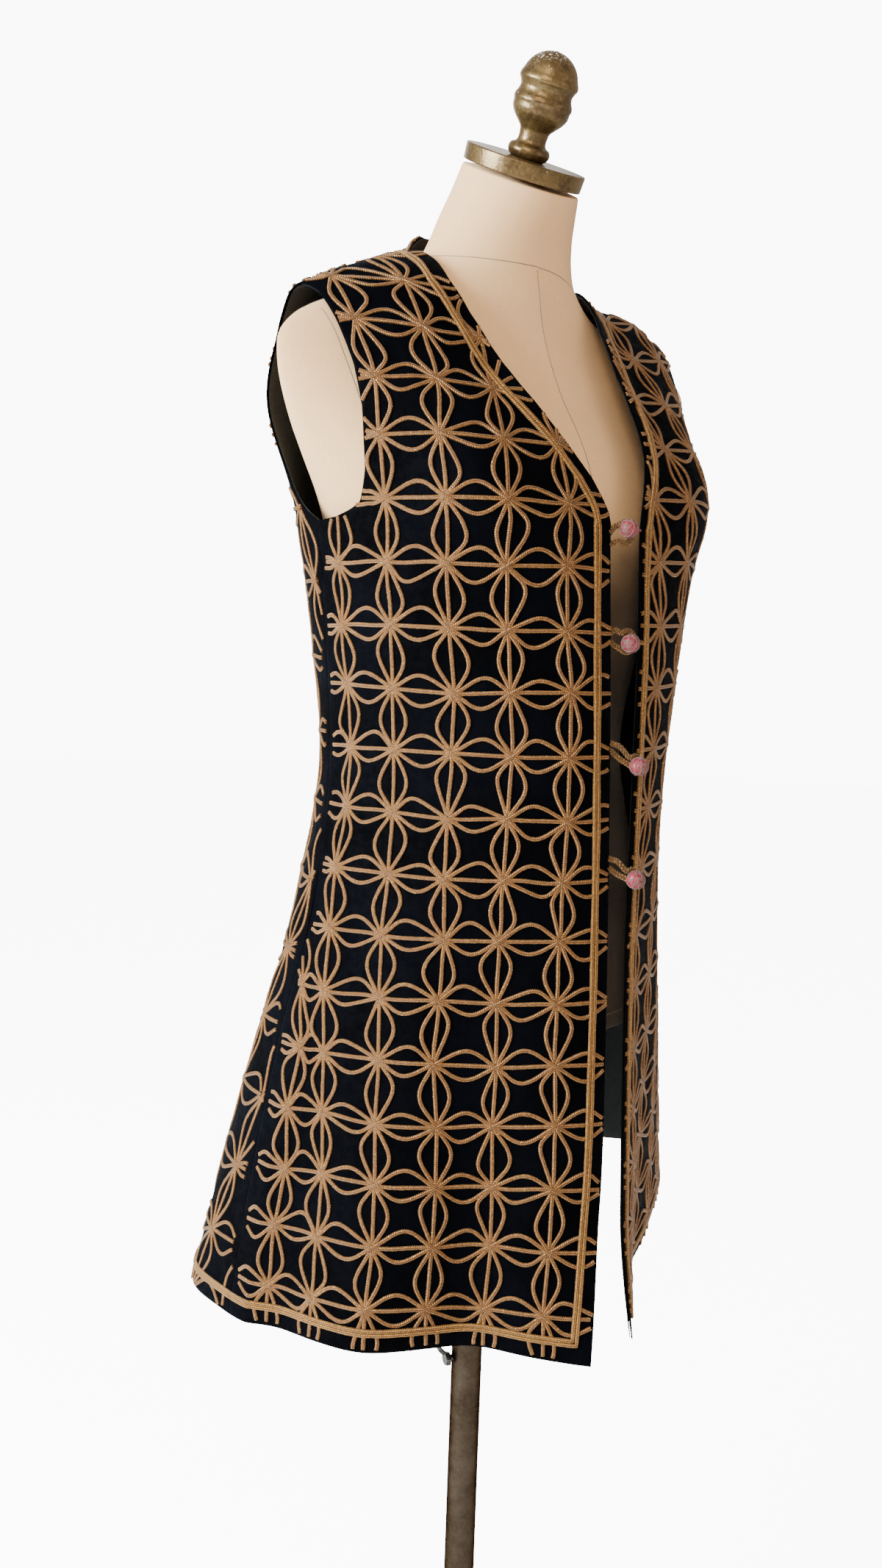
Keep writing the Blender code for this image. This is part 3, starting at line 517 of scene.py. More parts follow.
class Effects:
    """Shader groups that several finishes share."""

    def __init__(self) -> None:
        """Build each group once."""
        self.weave = self.build_weave()
        self.mottle = self.build_mottle()
        self.braid = self.build_braid()

    @staticmethod
    def build_weave() -> Tree:
        """Plain weave from a vector in metres: thread height and slubs."""
        kit, given, made = start_group("plain_weave", "ShaderNodeTree", {
            "Vector": "Vector", "Threads": 1500.0}, "Height Slub")
        parts = kit.parts(given["Vector"])
        rate = kit.mul(given["Threads"], math.pi)
        warp, weft = (kit.math("SINE", kit.mul(parts[axis], rate)) for axis in "XY")
        cell = kit.mul(kit.math("ABSOLUTE", warp), kit.math("ABSOLUTE", weft))
        slubs = [kit.noise(kit.vector("MULTIPLY", given["Vector"], stretch), 1.0, 2.0)
                 for stretch in ((900.0, 60.0, 60.0), (60.0, 900.0, 60.0))]
        kit.put(made, {"Height": kit.mad(kit.mul(warp, weft), 0.35, cell),
                       "Slub": kit.mul(kit.math("ADD", *slubs), 0.5)})
        return kit.tree

    @staticmethod
    def build_mottle() -> Tree:
        """Broad and fine cloudiness of one surface."""
        kit, given, made = start_group("mottle", "ShaderNodeTree", {
            "Vector": "Vector", "Scale": 20.0}, "Broad Fine")
        place = kit.vector("SCALE", given["Vector"], scale=given["Scale"])
        kit.put(made, {"Broad": kit.band(kit.noise(place, 1.0, 3.0), 0.3, 0.7),
                       "Fine": kit.band(kit.noise(place, 9.0, 4.0, 0.65), 0.3, 0.7)})
        return kit.tree

    @staticmethod
    def build_braid() -> Tree:
        """Chain of small stitches along a cord: x runs across from -1 to 1, y along in metres."""
        kit, given, made = start_group("chain_stitch", "ShaderNodeTree", {
            "Across": 0.0, "Along": 0.0, "Stitch": 0.0022}, "Height Core Dot Edge")
        side = kit.math("ABSOLUTE", given["Across"])
        steps = kit.math("DIVIDE", given["Along"], given["Stitch"])
        lobe = kit.math("SINE", kit.mul(kit.math("FRACT", kit.mad(side, 0.75, steps)), math.pi))
        near = kit.math("ABSOLUTE", kit.math("SUBTRACT", kit.math("FRACT", steps), 0.5))
        kit.put(made, {
            "Height": kit.mul(lobe, kit.mad(kit.band(side, 0.0, 0.35), 0.7, 0.3)),
            "Core": kit.band(side, 0.42, 0.08),
            "Dot": kit.mul(kit.band(near, 0.34, 0.14), kit.band(side, 0.34, 0.12)),
            "Edge": kit.band(side, 0.45, 0.85)})
        return kit.tree


# ------------------------------------------------------------------ finishes
@dataclass(frozen=True)
class Finish:
    """Base of every finish: its name, and a slot name that is not used."""

    name: str
    slot: str

    def build(self, fx: Effects) -> bpy.types.Material:
        """Build the material round its Principled shader."""
        made = bpy.data.materials.new(self.name)
        made.use_nodes = True
        kit = Nodes(made.node_tree)
        kit.put(made.node_tree.nodes["Principled BSDF"], self.paint(kit, fx))
        return made

    def paint(self, kit: Nodes, fx: Effects) -> dict[str, object]:
        """Work out what goes into the Principled shader."""
        raise NotImplementedError


@dataclass(frozen=True)
class VelvetFinish(Finish):
    """Short dark pile, with a painted cool sheen where it is seen at a slant."""

    deep: Colour = (0.0003, 0.0003, 0.0007)
    bloom: Colour = (0.0008, 0.0010, 0.0022)
    # painted sheen: paler colour mixed in where the pile is seen at a slant, in patches
    slant_sheen: Colour = (0.0060, 0.0075, 0.0120)

    def paint(self, kit: Nodes, fx: Effects) -> dict[str, object]:
        """Velvet."""
        place = kit.place()
        cloud = kit.use(fx.mottle, place, Scale=14.0)
        # slant and facing pick out where the pile is seen at a slant, in patches; there the
        # painted sheen colour is mixed in
        slant = kit.add("ShaderNodeLayerWeight", {"Blend": 0.35}).outputs["Facing"]
        facing = kit.mul(kit.band(slant, 0.25, 1.0, 0.0, 0.55), cloud["Broad"])
        pile = kit.bump(kit.noise(place, 2600.0, 2.0, 0.6), 0.00025, 0.7)
        lay = kit.noise(kit.vector("MULTIPLY", place, (1.0, 1.0, 0.25)), 120.0, 3.0)
        return {"Base Color": kit.mix(facing, kit.mix(cloud["Broad"], self.deep, self.bloom),
                                      self.slant_sheen),
                "Roughness": kit.band(cloud["Fine"], 0.0, 1.0, 0.62, 0.86),
                "Specular IOR Level": 0.02, "Sheen Weight": 0.014, "Sheen Roughness": 0.30,
                "Sheen Tint": (0.55, 0.66, 0.88), "Normal": kit.bump(lay, 0.0006, 0.5, pile)}


@dataclass(frozen=True)
class LiningFinish(Finish):
    """Charcoal plain-weave cotton, with painted shade that makes it darker low inside the skirt.
    """

    warp: Colour = (0.007, 0.008, 0.010)
    weft: Colour = (0.013, 0.015, 0.018)
    # shade: painted shade, mixed in low inside the skirt
    shade: Colour = (0.0008, 0.0010, 0.0015)

    def paint(self, kit: Nodes, fx: Effects) -> dict[str, object]:
        """Lining cloth."""
        place = kit.place()
        flat = kit.add("ShaderNodeUVMap", uv_map="cut").outputs["UV"]
        weave = kit.use(fx.weave, flat, Threads=2200.0)
        cloud = kit.use(fx.mottle, place, Scale=16.0)
        tone = kit.mul(kit.mad(weave["Height"], 0.5, cloud["Broad"]), 0.66)
        # low: mask of the painted shade, rising towards the bottom of the lining
        low = kit.band(kit.parts(place)["Z"], 1.0, 0.8, 0.0, 0.8)
        return {"Base Color": kit.mix(low, kit.mix(tone, self.warp, self.weft), self.shade),
                "Roughness": kit.band(weave["Slub"], 0.3, 0.7, 0.62, 0.80),
                "Specular IOR Level": 0.15, "Sheen Weight": 0.05,
                "Normal": kit.bump(weave["Height"], 0.00012, 0.8)}


@dataclass(frozen=True)
class CordFinish(Finish):
    """Couched metallic cord: tan edges, a brown core, dark stitch holes, painted glints on the
    stitch crowns and painted shade between the stitches.
    """

    tan: Colour = (0.400, 0.158, 0.026)
    core: Colour = (0.070, 0.024, 0.003)
    hole: Colour = (0.024, 0.007, 0.003)
    # fleck: colour of the painted glints on the stitch crowns
    fleck: Colour = (1.000, 0.640, 0.210)
    stitch: float = 0.0018

    def paint(self, kit: Nodes, fx: Effects) -> dict[str, object]:
        """Cord."""
        place = kit.place()
        way = kit.cord_way()
        braid = kit.use(fx.braid, Across=way["X"], Along=way["Y"], Stitch=self.stitch)
        cloud = kit.use(fx.mottle, place, Scale=60.0)
        # painted_glint: mask of painted glints on the stitch crowns; it also raises the metal
        painted_glint = kit.mul(kit.band(kit.noise(place, 900.0, 1.0), 0.62, 0.74), braid["Height"])
        colour = self.tan
        for share, other in (
                (kit.mul(braid["Core"], 0.8), self.core), (kit.mul(braid["Dot"], 0.9), self.hole),
                (kit.mul(braid["Edge"], 0.75), self.core),
                # painted shade: darker where the stitches dip between their crowns
                (kit.band(braid["Height"], 0.42, 0.0, 0.0, 0.85), self.core),
                (kit.band(kit.noise(place, 520.0, 4.0, 0.7), 0.42, 0.62, 0.0, 0.60), self.core),
                (kit.mul(painted_glint, 0.8), self.fleck), (kit.mul(cloud["Broad"], 0.22), self.core)):
            colour = kit.mix(share, colour, other)
        return {"Base Color": colour, "Metallic": kit.mad(painted_glint, 0.45, 0.36),
                "Roughness": kit.band(cloud["Fine"], 0.0, 1.0, 0.34, 0.50),
                "Sheen Weight": 0.10, "Sheen Tint": (1.0, 0.90, 0.72),
                "Normal": kit.bump(braid["Height"], 0.0006, 0.85)}


@dataclass(frozen=True)
class ThreadFinish(Finish):
    """Twisted thread of one colour, for nets and seams."""

    light: Colour
    dark: Colour
    twist: float = 0.0009
    shine: float = 0.5

    def paint(self, kit: Nodes, fx: Effects) -> dict[str, object]:
        """Thread."""
        way = kit.cord_way()
        turns = kit.mad(way["X"], 0.5, kit.math("DIVIDE", way["Y"], self.twist))
        ply = kit.mad(kit.math("SINE", kit.mul(turns, 2 * math.pi)), 0.5, 0.5)
        cloud = kit.use(fx.mottle, kit.place(), Scale=180.0)
        share = kit.mul(ply, kit.mad(cloud["Fine"], 0.4, 0.6))
        return {"Base Color": kit.mix(share, self.dark, self.light),
                "Roughness": kit.mad(cloud["Broad"], 0.15, 1.0 - self.shine),
                "Sheen Weight": 0.15, "Normal": kit.bump(ply, 0.0002, 0.7)}


@dataclass(frozen=True)
class SilkFinish(Finish):
    """Bright silk wound over a ball."""

    light: Colour = (0.36, 0.003, 0.036)
    dark: Colour = (0.09, 0.001, 0.010)

    def paint(self, kit: Nodes, fx: Effects) -> dict[str, object]:
        """Silk."""
        place = kit.place()
        strands = kit.noise(kit.vector("MULTIPLY", place, (1.0, 1.0, 0.12)), 2600.0, 2.0)
        cloud = kit.use(fx.mottle, place, Scale=160.0)
        tone = kit.mad(kit.band(strands, 0.35, 0.65), 0.6, kit.mul(cloud["Broad"], 0.4))
        return {"Base Color": kit.mix(tone, self.dark, self.light),
                "Roughness": kit.band(strands, 0.3, 0.7, 0.50, 0.32), "Sheen Weight": 0.08,
                "Normal": kit.bump(strands, 0.0003, 0.7)}


@dataclass(frozen=True)
class LinenFinish(Finish):
    """Cream linen pulled tight over the form, with painted shade that makes it darker and browner
    low down, under the vest.
    """

    cream: Colour = (0.790, 0.480, 0.235)
    sand: Colour = (0.650, 0.375, 0.175)
    fleck: Colour = (0.360, 0.220, 0.120)
    # low and deep: painted shade, deeper down the form under the vest
    low: Colour = (0.135, 0.081, 0.043)
    deep: Colour = (0.100, 0.075, 0.055)

    def paint(self, kit: Nodes, fx: Effects) -> dict[str, object]:
        """Linen."""
        place = kit.place()
        flat = kit.add("ShaderNodeUVMap", uv_map="cut").outputs["UV"]
        weave = kit.use(fx.weave, flat, Threads=1500.0)
        broad = kit.use(fx.mottle, place, Scale=7.0)["Broad"]
        height = kit.parts(place)["Z"]
        colour = self.cream
        for share, other in (
                (kit.mul(broad, 0.45), self.sand),
                (kit.band(weave["Slub"], 0.40, 0.60, 0.0, 0.30), self.sand),
                (kit.band(weave["Height"], 0.22, 0.0, 0.0, 0.30), self.sand),
                (kit.band(kit.noise(place, 420.0, 1.0), 0.70, 0.78, 0.0, 0.45), self.fleck),
                # painted shade: below the armholes the colour turns to low, then to deep
                (kit.band(height, 1.168, 1.085), self.low),
                (kit.band(height, 1.08, 0.86), self.deep)):
            colour = kit.mix(share, colour, other)
        raised = kit.mad(weave["Slub"], 0.8, weave["Height"])
        return {"Base Color": colour, "Roughness": kit.band(weave["Slub"], 0.3, 0.7, 0.78, 0.90),
                "Specular IOR Level": 0.25, "Sheen Weight": 0.12,
                "Normal": kit.bump(raised, 0.00015, 0.5)}


@dataclass(frozen=True)
class BronzeFinish(Finish):
    """Antique bronze: olive and brown clouds, rubbed paler in places, chips on top."""

    olive: Colour = (0.125, 0.079, 0.028)
    brown: Colour = (0.058, 0.031, 0.012)
    pale: Colour = (0.310, 0.205, 0.092)
    chip: Colour = (0.800, 0.680, 0.620)
    chips_above: float = 9.0
    rough: float = 0.26
    metal: float = 0.72
    strays: float = 0.7
    coat: float = 0.15
    rim: Colour = (0.9, 0.8, 0.65)

    def paint(self, kit: Nodes, fx: Effects) -> dict[str, object]:
        """Bronze."""
        place = kit.place()
        cloud = kit.use(fx.mottle, place, Scale=45.0)
        fine = kit.use(fx.mottle, place, Scale=260.0)
        colour = kit.mix(cloud["Broad"], self.olive, self.brown)
        rub = kit.mul(kit.mul(cloud["Fine"], fine["Broad"]), 0.35)
        top = kit.band(kit.parts(place)["Z"], self.chips_above, self.chips_above + 0.012)
        worn = kit.mul(kit.band(kit.noise(place, 420.0, 3.0, 0.7), 0.54, 0.60), top)
        stray = kit.band(kit.noise(place, 330.0, 2.0), 0.745, 0.765)
        mark = kit.math("MAXIMUM", worn, kit.mul(stray, self.strays))
        satin = kit.band(fine["Fine"], 0.0, 1.0, self.rough, self.rough + 0.16)
        return {"Base Color": kit.mix(mark, kit.mix(rub, colour, self.pale), self.chip),
                "Metallic": kit.mad(mark, -0.8 * self.metal, self.metal),
                "Roughness": kit.math("ADD", satin, kit.mul(mark, 0.3)),
                "Specular Tint": self.rim, "Coat Weight": self.coat, "Coat Roughness": 0.2,
                "Normal": kit.bump(fine["Broad"], 0.0003, 0.35)}


@dataclass(frozen=True)
class SteelFinish(Finish):
    """Dull plated steel with fine scratches."""

    light: Colour = (0.14, 0.138, 0.125)
    dark: Colour = (0.026, 0.026, 0.024)

    def paint(self, kit: Nodes, fx: Effects) -> dict[str, object]:
        """Steel."""
        cloud = kit.use(fx.mottle, kit.place(), Scale=220.0)
        return {"Base Color": kit.mix(cloud["Broad"], self.light, self.dark), "Metallic": 0.9,
                "Roughness": kit.band(cloud["Fine"], 0.0, 1.0, 0.28, 0.5),
                "Normal": kit.bump(cloud["Fine"], 0.0002, 0.3)}


@dataclass(frozen=True)
class FloorFinish(Finish):
    """Matt paint for the floor, which the camera sees as bright as the backdrop."""

    colour: Colour = (0.90, 0.90, 0.90)
    shade: Colour = (0.873, 0.873, 0.873)
    glow: float = 9.0

    def paint(self, kit: Nodes, fx: Effects) -> dict[str, object]:
        """Paint."""
        seen = kit.add("ShaderNodeLightPath").outputs["Is Camera Ray"]
        return {"Base Color": kit.mix(kit.noise(kit.place(), 30.0, 2.0), self.colour, self.shade),
                "Roughness": 0.9, "Emission Color": (1.0, 1.0, 1.0),
                "Emission Strength": kit.mul(seen, self.glow)}


# ------------------------------------------------------------------ mesh helpers
def link(name: str, data: bpy.types.ID) -> Item:
    """Put a mesh, light or camera into the scene."""
    item = bpy.data.objects.new(name, data)
    bpy.context.scene.collection.objects.link(item)
    return item


def lay_uv(mesh: bpy.types.Mesh, places: Array) -> None:
    """Give every corner the layout place of its vertex, as the UV map cut."""
    corner = np.zeros(len(mesh.loops), dtype=np.int32)
    mesh.loops.foreach_get("vertex_index", corner)
    mesh.uv_layers.new(name="cut").data.foreach_set(
        "uv", places[corner].astype(np.float32).ravel())


def ring_faces(rows: int, sides: int) -> list[tuple[int, ...]]:
    """Faces between rows of points that each close on themselves."""
    return [(i * sides + k, i * sides + (k + 1) % sides, (i + 1) * sides + (k + 1) % sides,
             (i + 1) * sides + k) for i in range(rows - 1) for k in range(sides)]


def runs_along(points: Array) -> Array:
    """Length along a line of points, at each point."""
    return np.concatenate([[0], np.cumsum(np.linalg.norm(np.diff(points, axis=0), axis=1))])


def smooth_line(path: Array, count: int) -> tuple[Array, Array]:
    """Lay a smooth line through a few points.

    Args:
        path: the points, one a row.
        count: how many points the line gets.

    Returns:
        Length along the line and place, at each of its points.
    """
    cuts = runs_along(path)
    s = np.linspace(0, cuts[-1], count)
    return s, np.stack([[through(v, cuts, column) for v in s] for column in path.T], axis=-1)


class Workshop:
    """Makes finished objects and remembers the materials."""

    def __init__(self) -> None:
        """Build the shared effects, the node trees for threads and every finish."""
        self.effects = Effects()
        self.cord_tree = build_cord_tree()
        self.turn_tree = build_turn_tree()
        self.finishes = {f.name: f for f in (
            VelvetFinish("black_velvet", "velvet"), LiningFinish("charcoal_lining", "lining"),
            CordFinish("gold_cord", "gold_cord"),
            CordFinish("bright_cord", "gold_cord", tan=(0.500, 0.222, 0.030),
                       core=(0.085, 0.030, 0.003)),
            CordFinish("gold_plait", "gold_cord", tan=(0.34, 0.160, 0.040),
                       core=(0.07, 0.026, 0.005), stitch=0.0016),
            ThreadFinish("silver_net", "pink", (0.35, 0.20, 0.152), (0.022, 0.004, 0.007)),
            SilkFinish("pink_silk", "pink"), LinenFinish("cream_linen", "linen"),
            ThreadFinish("seam_thread", "linen", (0.40, 0.29, 0.19), (0.16, 0.10, 0.06),
                         twist=0.0030, shine=0.15),
            BronzeFinish("aged_bronze", "bronze"),
            BronzeFinish("worn_bronze", "bronze", chips_above=1.5155),
            BronzeFinish("tube_bronze", "bronze", olive=(0.068, 0.050, 0.036),
                         brown=(0.040, 0.027, 0.018), pale=(0.10, 0.076, 0.056), rough=0.34,
                         metal=1.0, strays=0.0, coat=0.0, rim=(0.25, 0.20, 0.16)),
            SteelFinish("dull_steel", "steel"), FloorFinish("pale_floor", "floor"))}
        self.materials = {name: f.build(self.effects) for name, f in self.finishes.items()}

    def finish(self, item: Item, *replaced: str) -> Item:
        """Say what an object rides on and which model parts it stands for."""
        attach(item, "root")
        if replaced:
            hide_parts(*replaced)
        return item

    def mesh(self, name: str, points: Array, faces: list[tuple[int, ...]], finish: str,
             smooth: bool = True, turn: bool = True) -> Item:
        """Make a mesh object, with its faces turned outwards unless they are already."""
        made = bpy.data.meshes.new(name)
        made.from_pydata(np.asarray(points, float).tolist(), [], faces)
        if turn:
            shape = bmesh.new()
            shape.from_mesh(made)
            bmesh.ops.recalc_face_normals(shape, faces=shape.faces)
            shape.to_mesh(made)
            shape.free()
        made.polygons.foreach_set("use_smooth", [smooth] * len(made.polygons))
        made.materials.append(self.materials[finish])
        return link(name, made)

    def cords(self, name: str, runs: list[tuple[Array, Array]], width: float, height: float,
              finish: str, sides: int = 6) -> Item:
        """Lay flattened cords along runs of points with the cord tree.

        Args:
            name: the object's name.
            runs: points and outward directions of each cord.
            width: the cord's full width.
            height: its full height.
            finish: name of its finish.
            sides: corners of its section.

        Returns:
            The mesh object.
        """
        line = bpy.data.meshes.new(name + "_runs")
        edges, first = [], 0
        for p, _ in runs:
            edges += [(k, k + 1) for k in range(first, first + len(p) - 1)]
            first += len(p)
        line.from_pydata(np.concatenate([p for p, _ in runs]).tolist(), edges, [])
        line.attributes.new("out", "FLOAT_VECTOR", "POINT").data.foreach_set(
            "vector", np.concatenate([o for _, o in runs]).astype(np.float32).ravel())
        return self.evaluate(link(name + "_runs", line), name, self.cord_tree, finish, {
            "Width": width, "Height": height, "Sides": sides})

    def trim(self, name: str, runs: list[tuple[Array, Array]], width: float, height: float,
             finish: str, sides: int = 6, *replaced: str) -> Item:
        """Lay cords as cords() does, for good."""
        return self.finish(self.cords(name, runs, width, height, finish, sides), *replaced)

    def evaluate(self, rough: Item, name: str, tree: Tree, finish: str,
                 values: dict[str, object]) -> Item:
        """Run a Geometry Nodes tree on an object and keep its result as a plain mesh."""
        values["Material"] = self.materials[finish]
        modifier = rough.modifiers.new("tree", "NODES")
        modifier.node_group = tree
        for socket in tree.interface.items_tree:
            if getattr(socket, "in_out", "") == "INPUT" and socket.name in values:
                modifier[socket.identifier] = values[socket.name]
        graph = bpy.context.evaluated_depsgraph_get()
        made = bpy.data.meshes.new_from_object(rough.evaluated_get(graph))
        made.name = name
        bpy.data.objects.remove(rough)
        return link(name, made)

    def lathe(self, name: str, profile: Array, finish: str, sides: int = 96,
              place: Matrix = Matrix.Identity(4)) -> Item:
        """Turn a profile of height and radius rows round the Z axis."""
        rows = len(profile)
        turns = np.linspace(0, 2 * math.pi, sides, endpoint=False)
        points = [(r * math.cos(t), r * math.sin(t), h) for h, r in profile for t in turns]
        faces = ring_faces(rows, sides)
        last = (rows - 1) * sides
        if np.hypot(*(profile[0] - profile[-1])) < 1e-9:
            points = points[:last]
            faces = [tuple(v % last for v in f) for f in faces]
        else:
            faces += [tuple(range(sides)), tuple(range(last, rows * sides))]
        return self.mesh(name, np.array([place @ Vector(p) for p in points]), faces, finish)


def smooth_profile(stations: list[tuple[float, float]], steps: int = 6) -> Array:
    """Round a short profile of height and radius rows with a smooth curve through them."""
    stations = np.array(stations, float)
    cuts = runs_along(stations)
    fine = np.interp(np.linspace(0, len(cuts) - 1, (len(cuts) - 1) * steps + 1),
                     np.arange(len(cuts)), cuts)
    return np.array([[through(s, cuts, stations[:, 0]), max(through(s, cuts, stations[:, 1]), 0.0)]
                     for s in fine])


def build_cord_tree() -> Tree:
    """Geometry Nodes: lay a flattened round cord along each run of edges.

    Returns:
        A tree with the inputs Geometry, Width, Height, Sides and Material. It stores the
        attribute cord_way: x across the cord from -1 to 1, y along it in metres.
    """
    kit, given, made = start_group("laid_cord", "GeometryNodeTree", {
        "Geometry": "Geometry", "Width": 0.004, "Height": 0.002, "Sides": 6,
        "Material": "Material"}, "Geometry")
    out = kit.add("GeometryNodeInputNamedAttribute", {"Name": "out"},
                  data_type="FLOAT_VECTOR").outputs["Attribute"]
    curve = kit.add("GeometryNodeMeshToCurve", {"Mesh": given["Geometry"]}).outputs["Curve"]
    turned = kit.add("GeometryNodeSetCurveNormal", {"Curve": curve, "Normal": out}, mode="FREE")
    place = kit.add("GeometryNodeInputPosition").outputs[0]
    tangent = kit.add("GeometryNodeInputTangent").outputs[0]
    keep = kit.add("GeometryNodeCaptureAttribute", domain="POINT")
    for label in ("centre", "across", "along"):
        keep.capture_items.new("FLOAT" if label == "along" else "VECTOR", label)
    kit.put(keep, {
        "Geometry": turned.outputs["Curve"], "centre": place,
        "across": kit.vector("NORMALIZE", kit.vector("CROSS_PRODUCT", tangent, out)),
        "along": kit.add("GeometryNodeSplineParameter").outputs["Length"]})
    kept = keep.outputs
    ring = kit.add("GeometryNodeCurvePrimitiveCircle", {"Resolution": given["Sides"],
                                                        "Radius": 0.5}, mode="RADIUS")
    size = kit.add("ShaderNodeCombineXYZ", {"X": given["Height"], "Y": given["Width"]})
    flat = kit.add("GeometryNodeTransform", {"Geometry": ring.outputs["Curve"],
                                             "Scale": size.outputs[0]})
    tube = kit.add("GeometryNodeCurveToMesh", {
        "Fill Caps": True, "Curve": kept["Geometry"], "Profile Curve": flat.outputs["Geometry"],
        "Scale": kit.mad(kit.noise(place, 330.0, 2.0), 0.5, 0.75)})
    away = kit.vector("DOT_PRODUCT", kit.vector("SUBTRACT", place, kept["centre"]), kept["across"])
    way = kit.add("ShaderNodeCombineXYZ", {
        "X": kit.math("DIVIDE", away, kit.mul(given["Width"], 0.5)), "Y": kept["along"]})
    store = kit.add("GeometryNodeStoreNamedAttribute", {
        "Name": "cord_way", "Geometry": tube.outputs["Mesh"], "Value": way.outputs[0]},
        data_type="FLOAT_VECTOR", domain="POINT")
    return finish_tree(kit, store.outputs["Geometry"], given["Material"], made)


def build_turn_tree() -> Tree:
    """Geometry Nodes: repeat a piece of thread round an axis and make it real.

    Returns:
        A tree with the inputs Geometry, Centre, Axis, Count and Material.
    """
    kit, given, made = start_group("turned_repeat", "GeometryNodeTree", {
        "Geometry": "Geometry", "Centre": "Vector", "Axis": "Vector", "Count": 8,
        "Material": "Material"}, "Geometry")
    line = kit.add("GeometryNodeMeshLine", {"Count": given["Count"], "Offset": (0.0, 0.0, 0.0)},
                   mode="OFFSET")
    moved = kit.add("GeometryNodeTransform", {
        "Geometry": given["Geometry"],
        "Translation": kit.vector("SCALE", given["Centre"], scale=-1.0)})
    index = kit.add("GeometryNodeInputIndex").outputs[0]
    turn = kit.add("FunctionNodeAxisAngleToRotation", {
        "Axis": given["Axis"],
        "Angle": kit.math("DIVIDE", kit.mul(index, 2 * math.pi), given["Count"])})
    copies = kit.add("GeometryNodeInstanceOnPoints", {
        "Points": line.outputs["Mesh"], "Instance": moved.outputs["Geometry"],
        "Rotation": turn.outputs["Rotation"]})
    real = kit.add("GeometryNodeRealizeInstances", {"Geometry": copies.outputs["Instances"]})
    back = kit.add("GeometryNodeTransform", {"Geometry": real.outputs["Geometry"],
                                             "Translation": given["Centre"]})
    return finish_tree(kit, back.outputs["Geometry"], given["Material"], made)


def finish_tree(kit: Nodes, shape: Socket, material: Socket, made: Node) -> Tree:
    """End a Geometry Nodes tree: real, smooth and with its material."""
    for kind in ("RealizeInstances", "SetShadeSmooth", "SetMaterial"):
        last = kit.add("GeometryNode" + kind, {"Geometry": shape})
        shape = last.outputs["Geometry"]
    kit.put(last, {"Material": material})
    kit.put(made, {"Geometry": shape})
    return kit.tree


# ------------------------------------------------------------------ the vest
@dataclass
class ClothPanel:
    """One cut piece made as a closed thin shell with rolled edges.

    Attributes:
        name: node name.
        halves: the half cloths it is made from, one for a front, two for the back.
        flat: width and length of the cut; not used.
        area: area of the cut; not used.
    """

    name: str
    halves: list[HalfCloth]
    flat: tuple[float, float]
    area: float

    def shell(self, shop: Workshop, name: str, outer: float, inner: float, inset: float,
              columns: int, rows: int, finish: str) -> Item:
        """Make a wall of this piece.

        Args:
            shop: the workshop.
            name: the object's name.
            outer: outer face, measured along the outward direction.
            inner: inner face.
            inset: distance of the wall's edge from the cut edge.
            columns: cells across each half.
            rows: cells up the piece.
            finish: name of its finish.

        Returns:
            The mesh object.
        """
        upper = rows * 2 // 5
        levels = np.concatenate([np.linspace(0, 1, rows - upper + 1),
                                 np.linspace(1, 2, upper)[1:]])
        levels[:2] = (0.0, 0.0022)
        lift = inset / ARMPIT_RUN
        levels = np.unique(np.clip(levels, lift, 2.0 - lift * 1.5))
        points, uvs, cells, roll = [], [], [], []
        seen: dict[tuple[int, ...], int] = {}
        for cloth in self.halves:
            ids = np.zeros((len(levels), columns + 3), int)
            for r, level in enumerate(levels):
                a, b = cloth.edges(level)
                centre = cloth.panel is Panel.BACK and a < 1e-6
                a, b = a + (0.0 if centre else inset), b - inset
                us = np.concatenate([[a, a + 0.0006], np.linspace(a + 0.0022, b - 0.0022,
                                                                  columns - 1),
                                     [b - 0.0006, b]])
                found, outs = cloth.sample(us, np.full(len(us), level))
                for k, u in enumerate(us):
                    key = (*np.round(found[k] * 1e5).astype(int).tolist(),)
                    if centre and k == 0:
                        found[k][0] = 0.0
                        key = (0, r)
                    if key not in seen:
                        seen[key] = len(points)
                        points.append((found[k], outs[k]))
                        uvs.append((u * cloth.side, level))
                        edge = (k == 0 and not centre) or k == len(us) - 1 or r in (
                            0, len(levels) - 1)
                        near = (k == 1 and not centre) or k == len(us) - 2 or r == 1
                        roll.append(0.5 if edge else 0.12 if near else 0.0)
                    ids[r, k] = seen[key]
            for r in range(len(levels) - 1):
                for k in range(columns + 2):
                    cell = (ids[r, k], ids[r, k + 1], ids[r + 1, k + 1], ids[r + 1, k])
                    cells.append(cell if cloth.side * (1 if cloth.panel is Panel.FRONT else -1) > 0
                                 else cell[::-1])
        base = np.array([p for p, _ in points])
        out = np.array([o for _, o in points])
        soft = np.array(roll)[:, None] * (outer - inner)
        high, low = base + out * (outer - soft), base + out * (inner + soft)
        count = len(high)
        faces = [tuple(c) for c in cells] + [tuple(v + count for v in reversed(c)) for c in cells]
        sides = [(int(c[k]), int(c[(k + 1) % 4])) for c in cells for k in range(4)]
        taken = set(sides)
        faces += [(b, a, a + count, b + count) for a, b in sides if (b, a) not in taken]
        item = shop.mesh(name, np.concatenate([high, low]), faces, finish, turn=False)
        lay_uv(item.data, np.tile(np.array(uvs) * (1.0, LEVEL_RUN), (2, 1)))
        return item


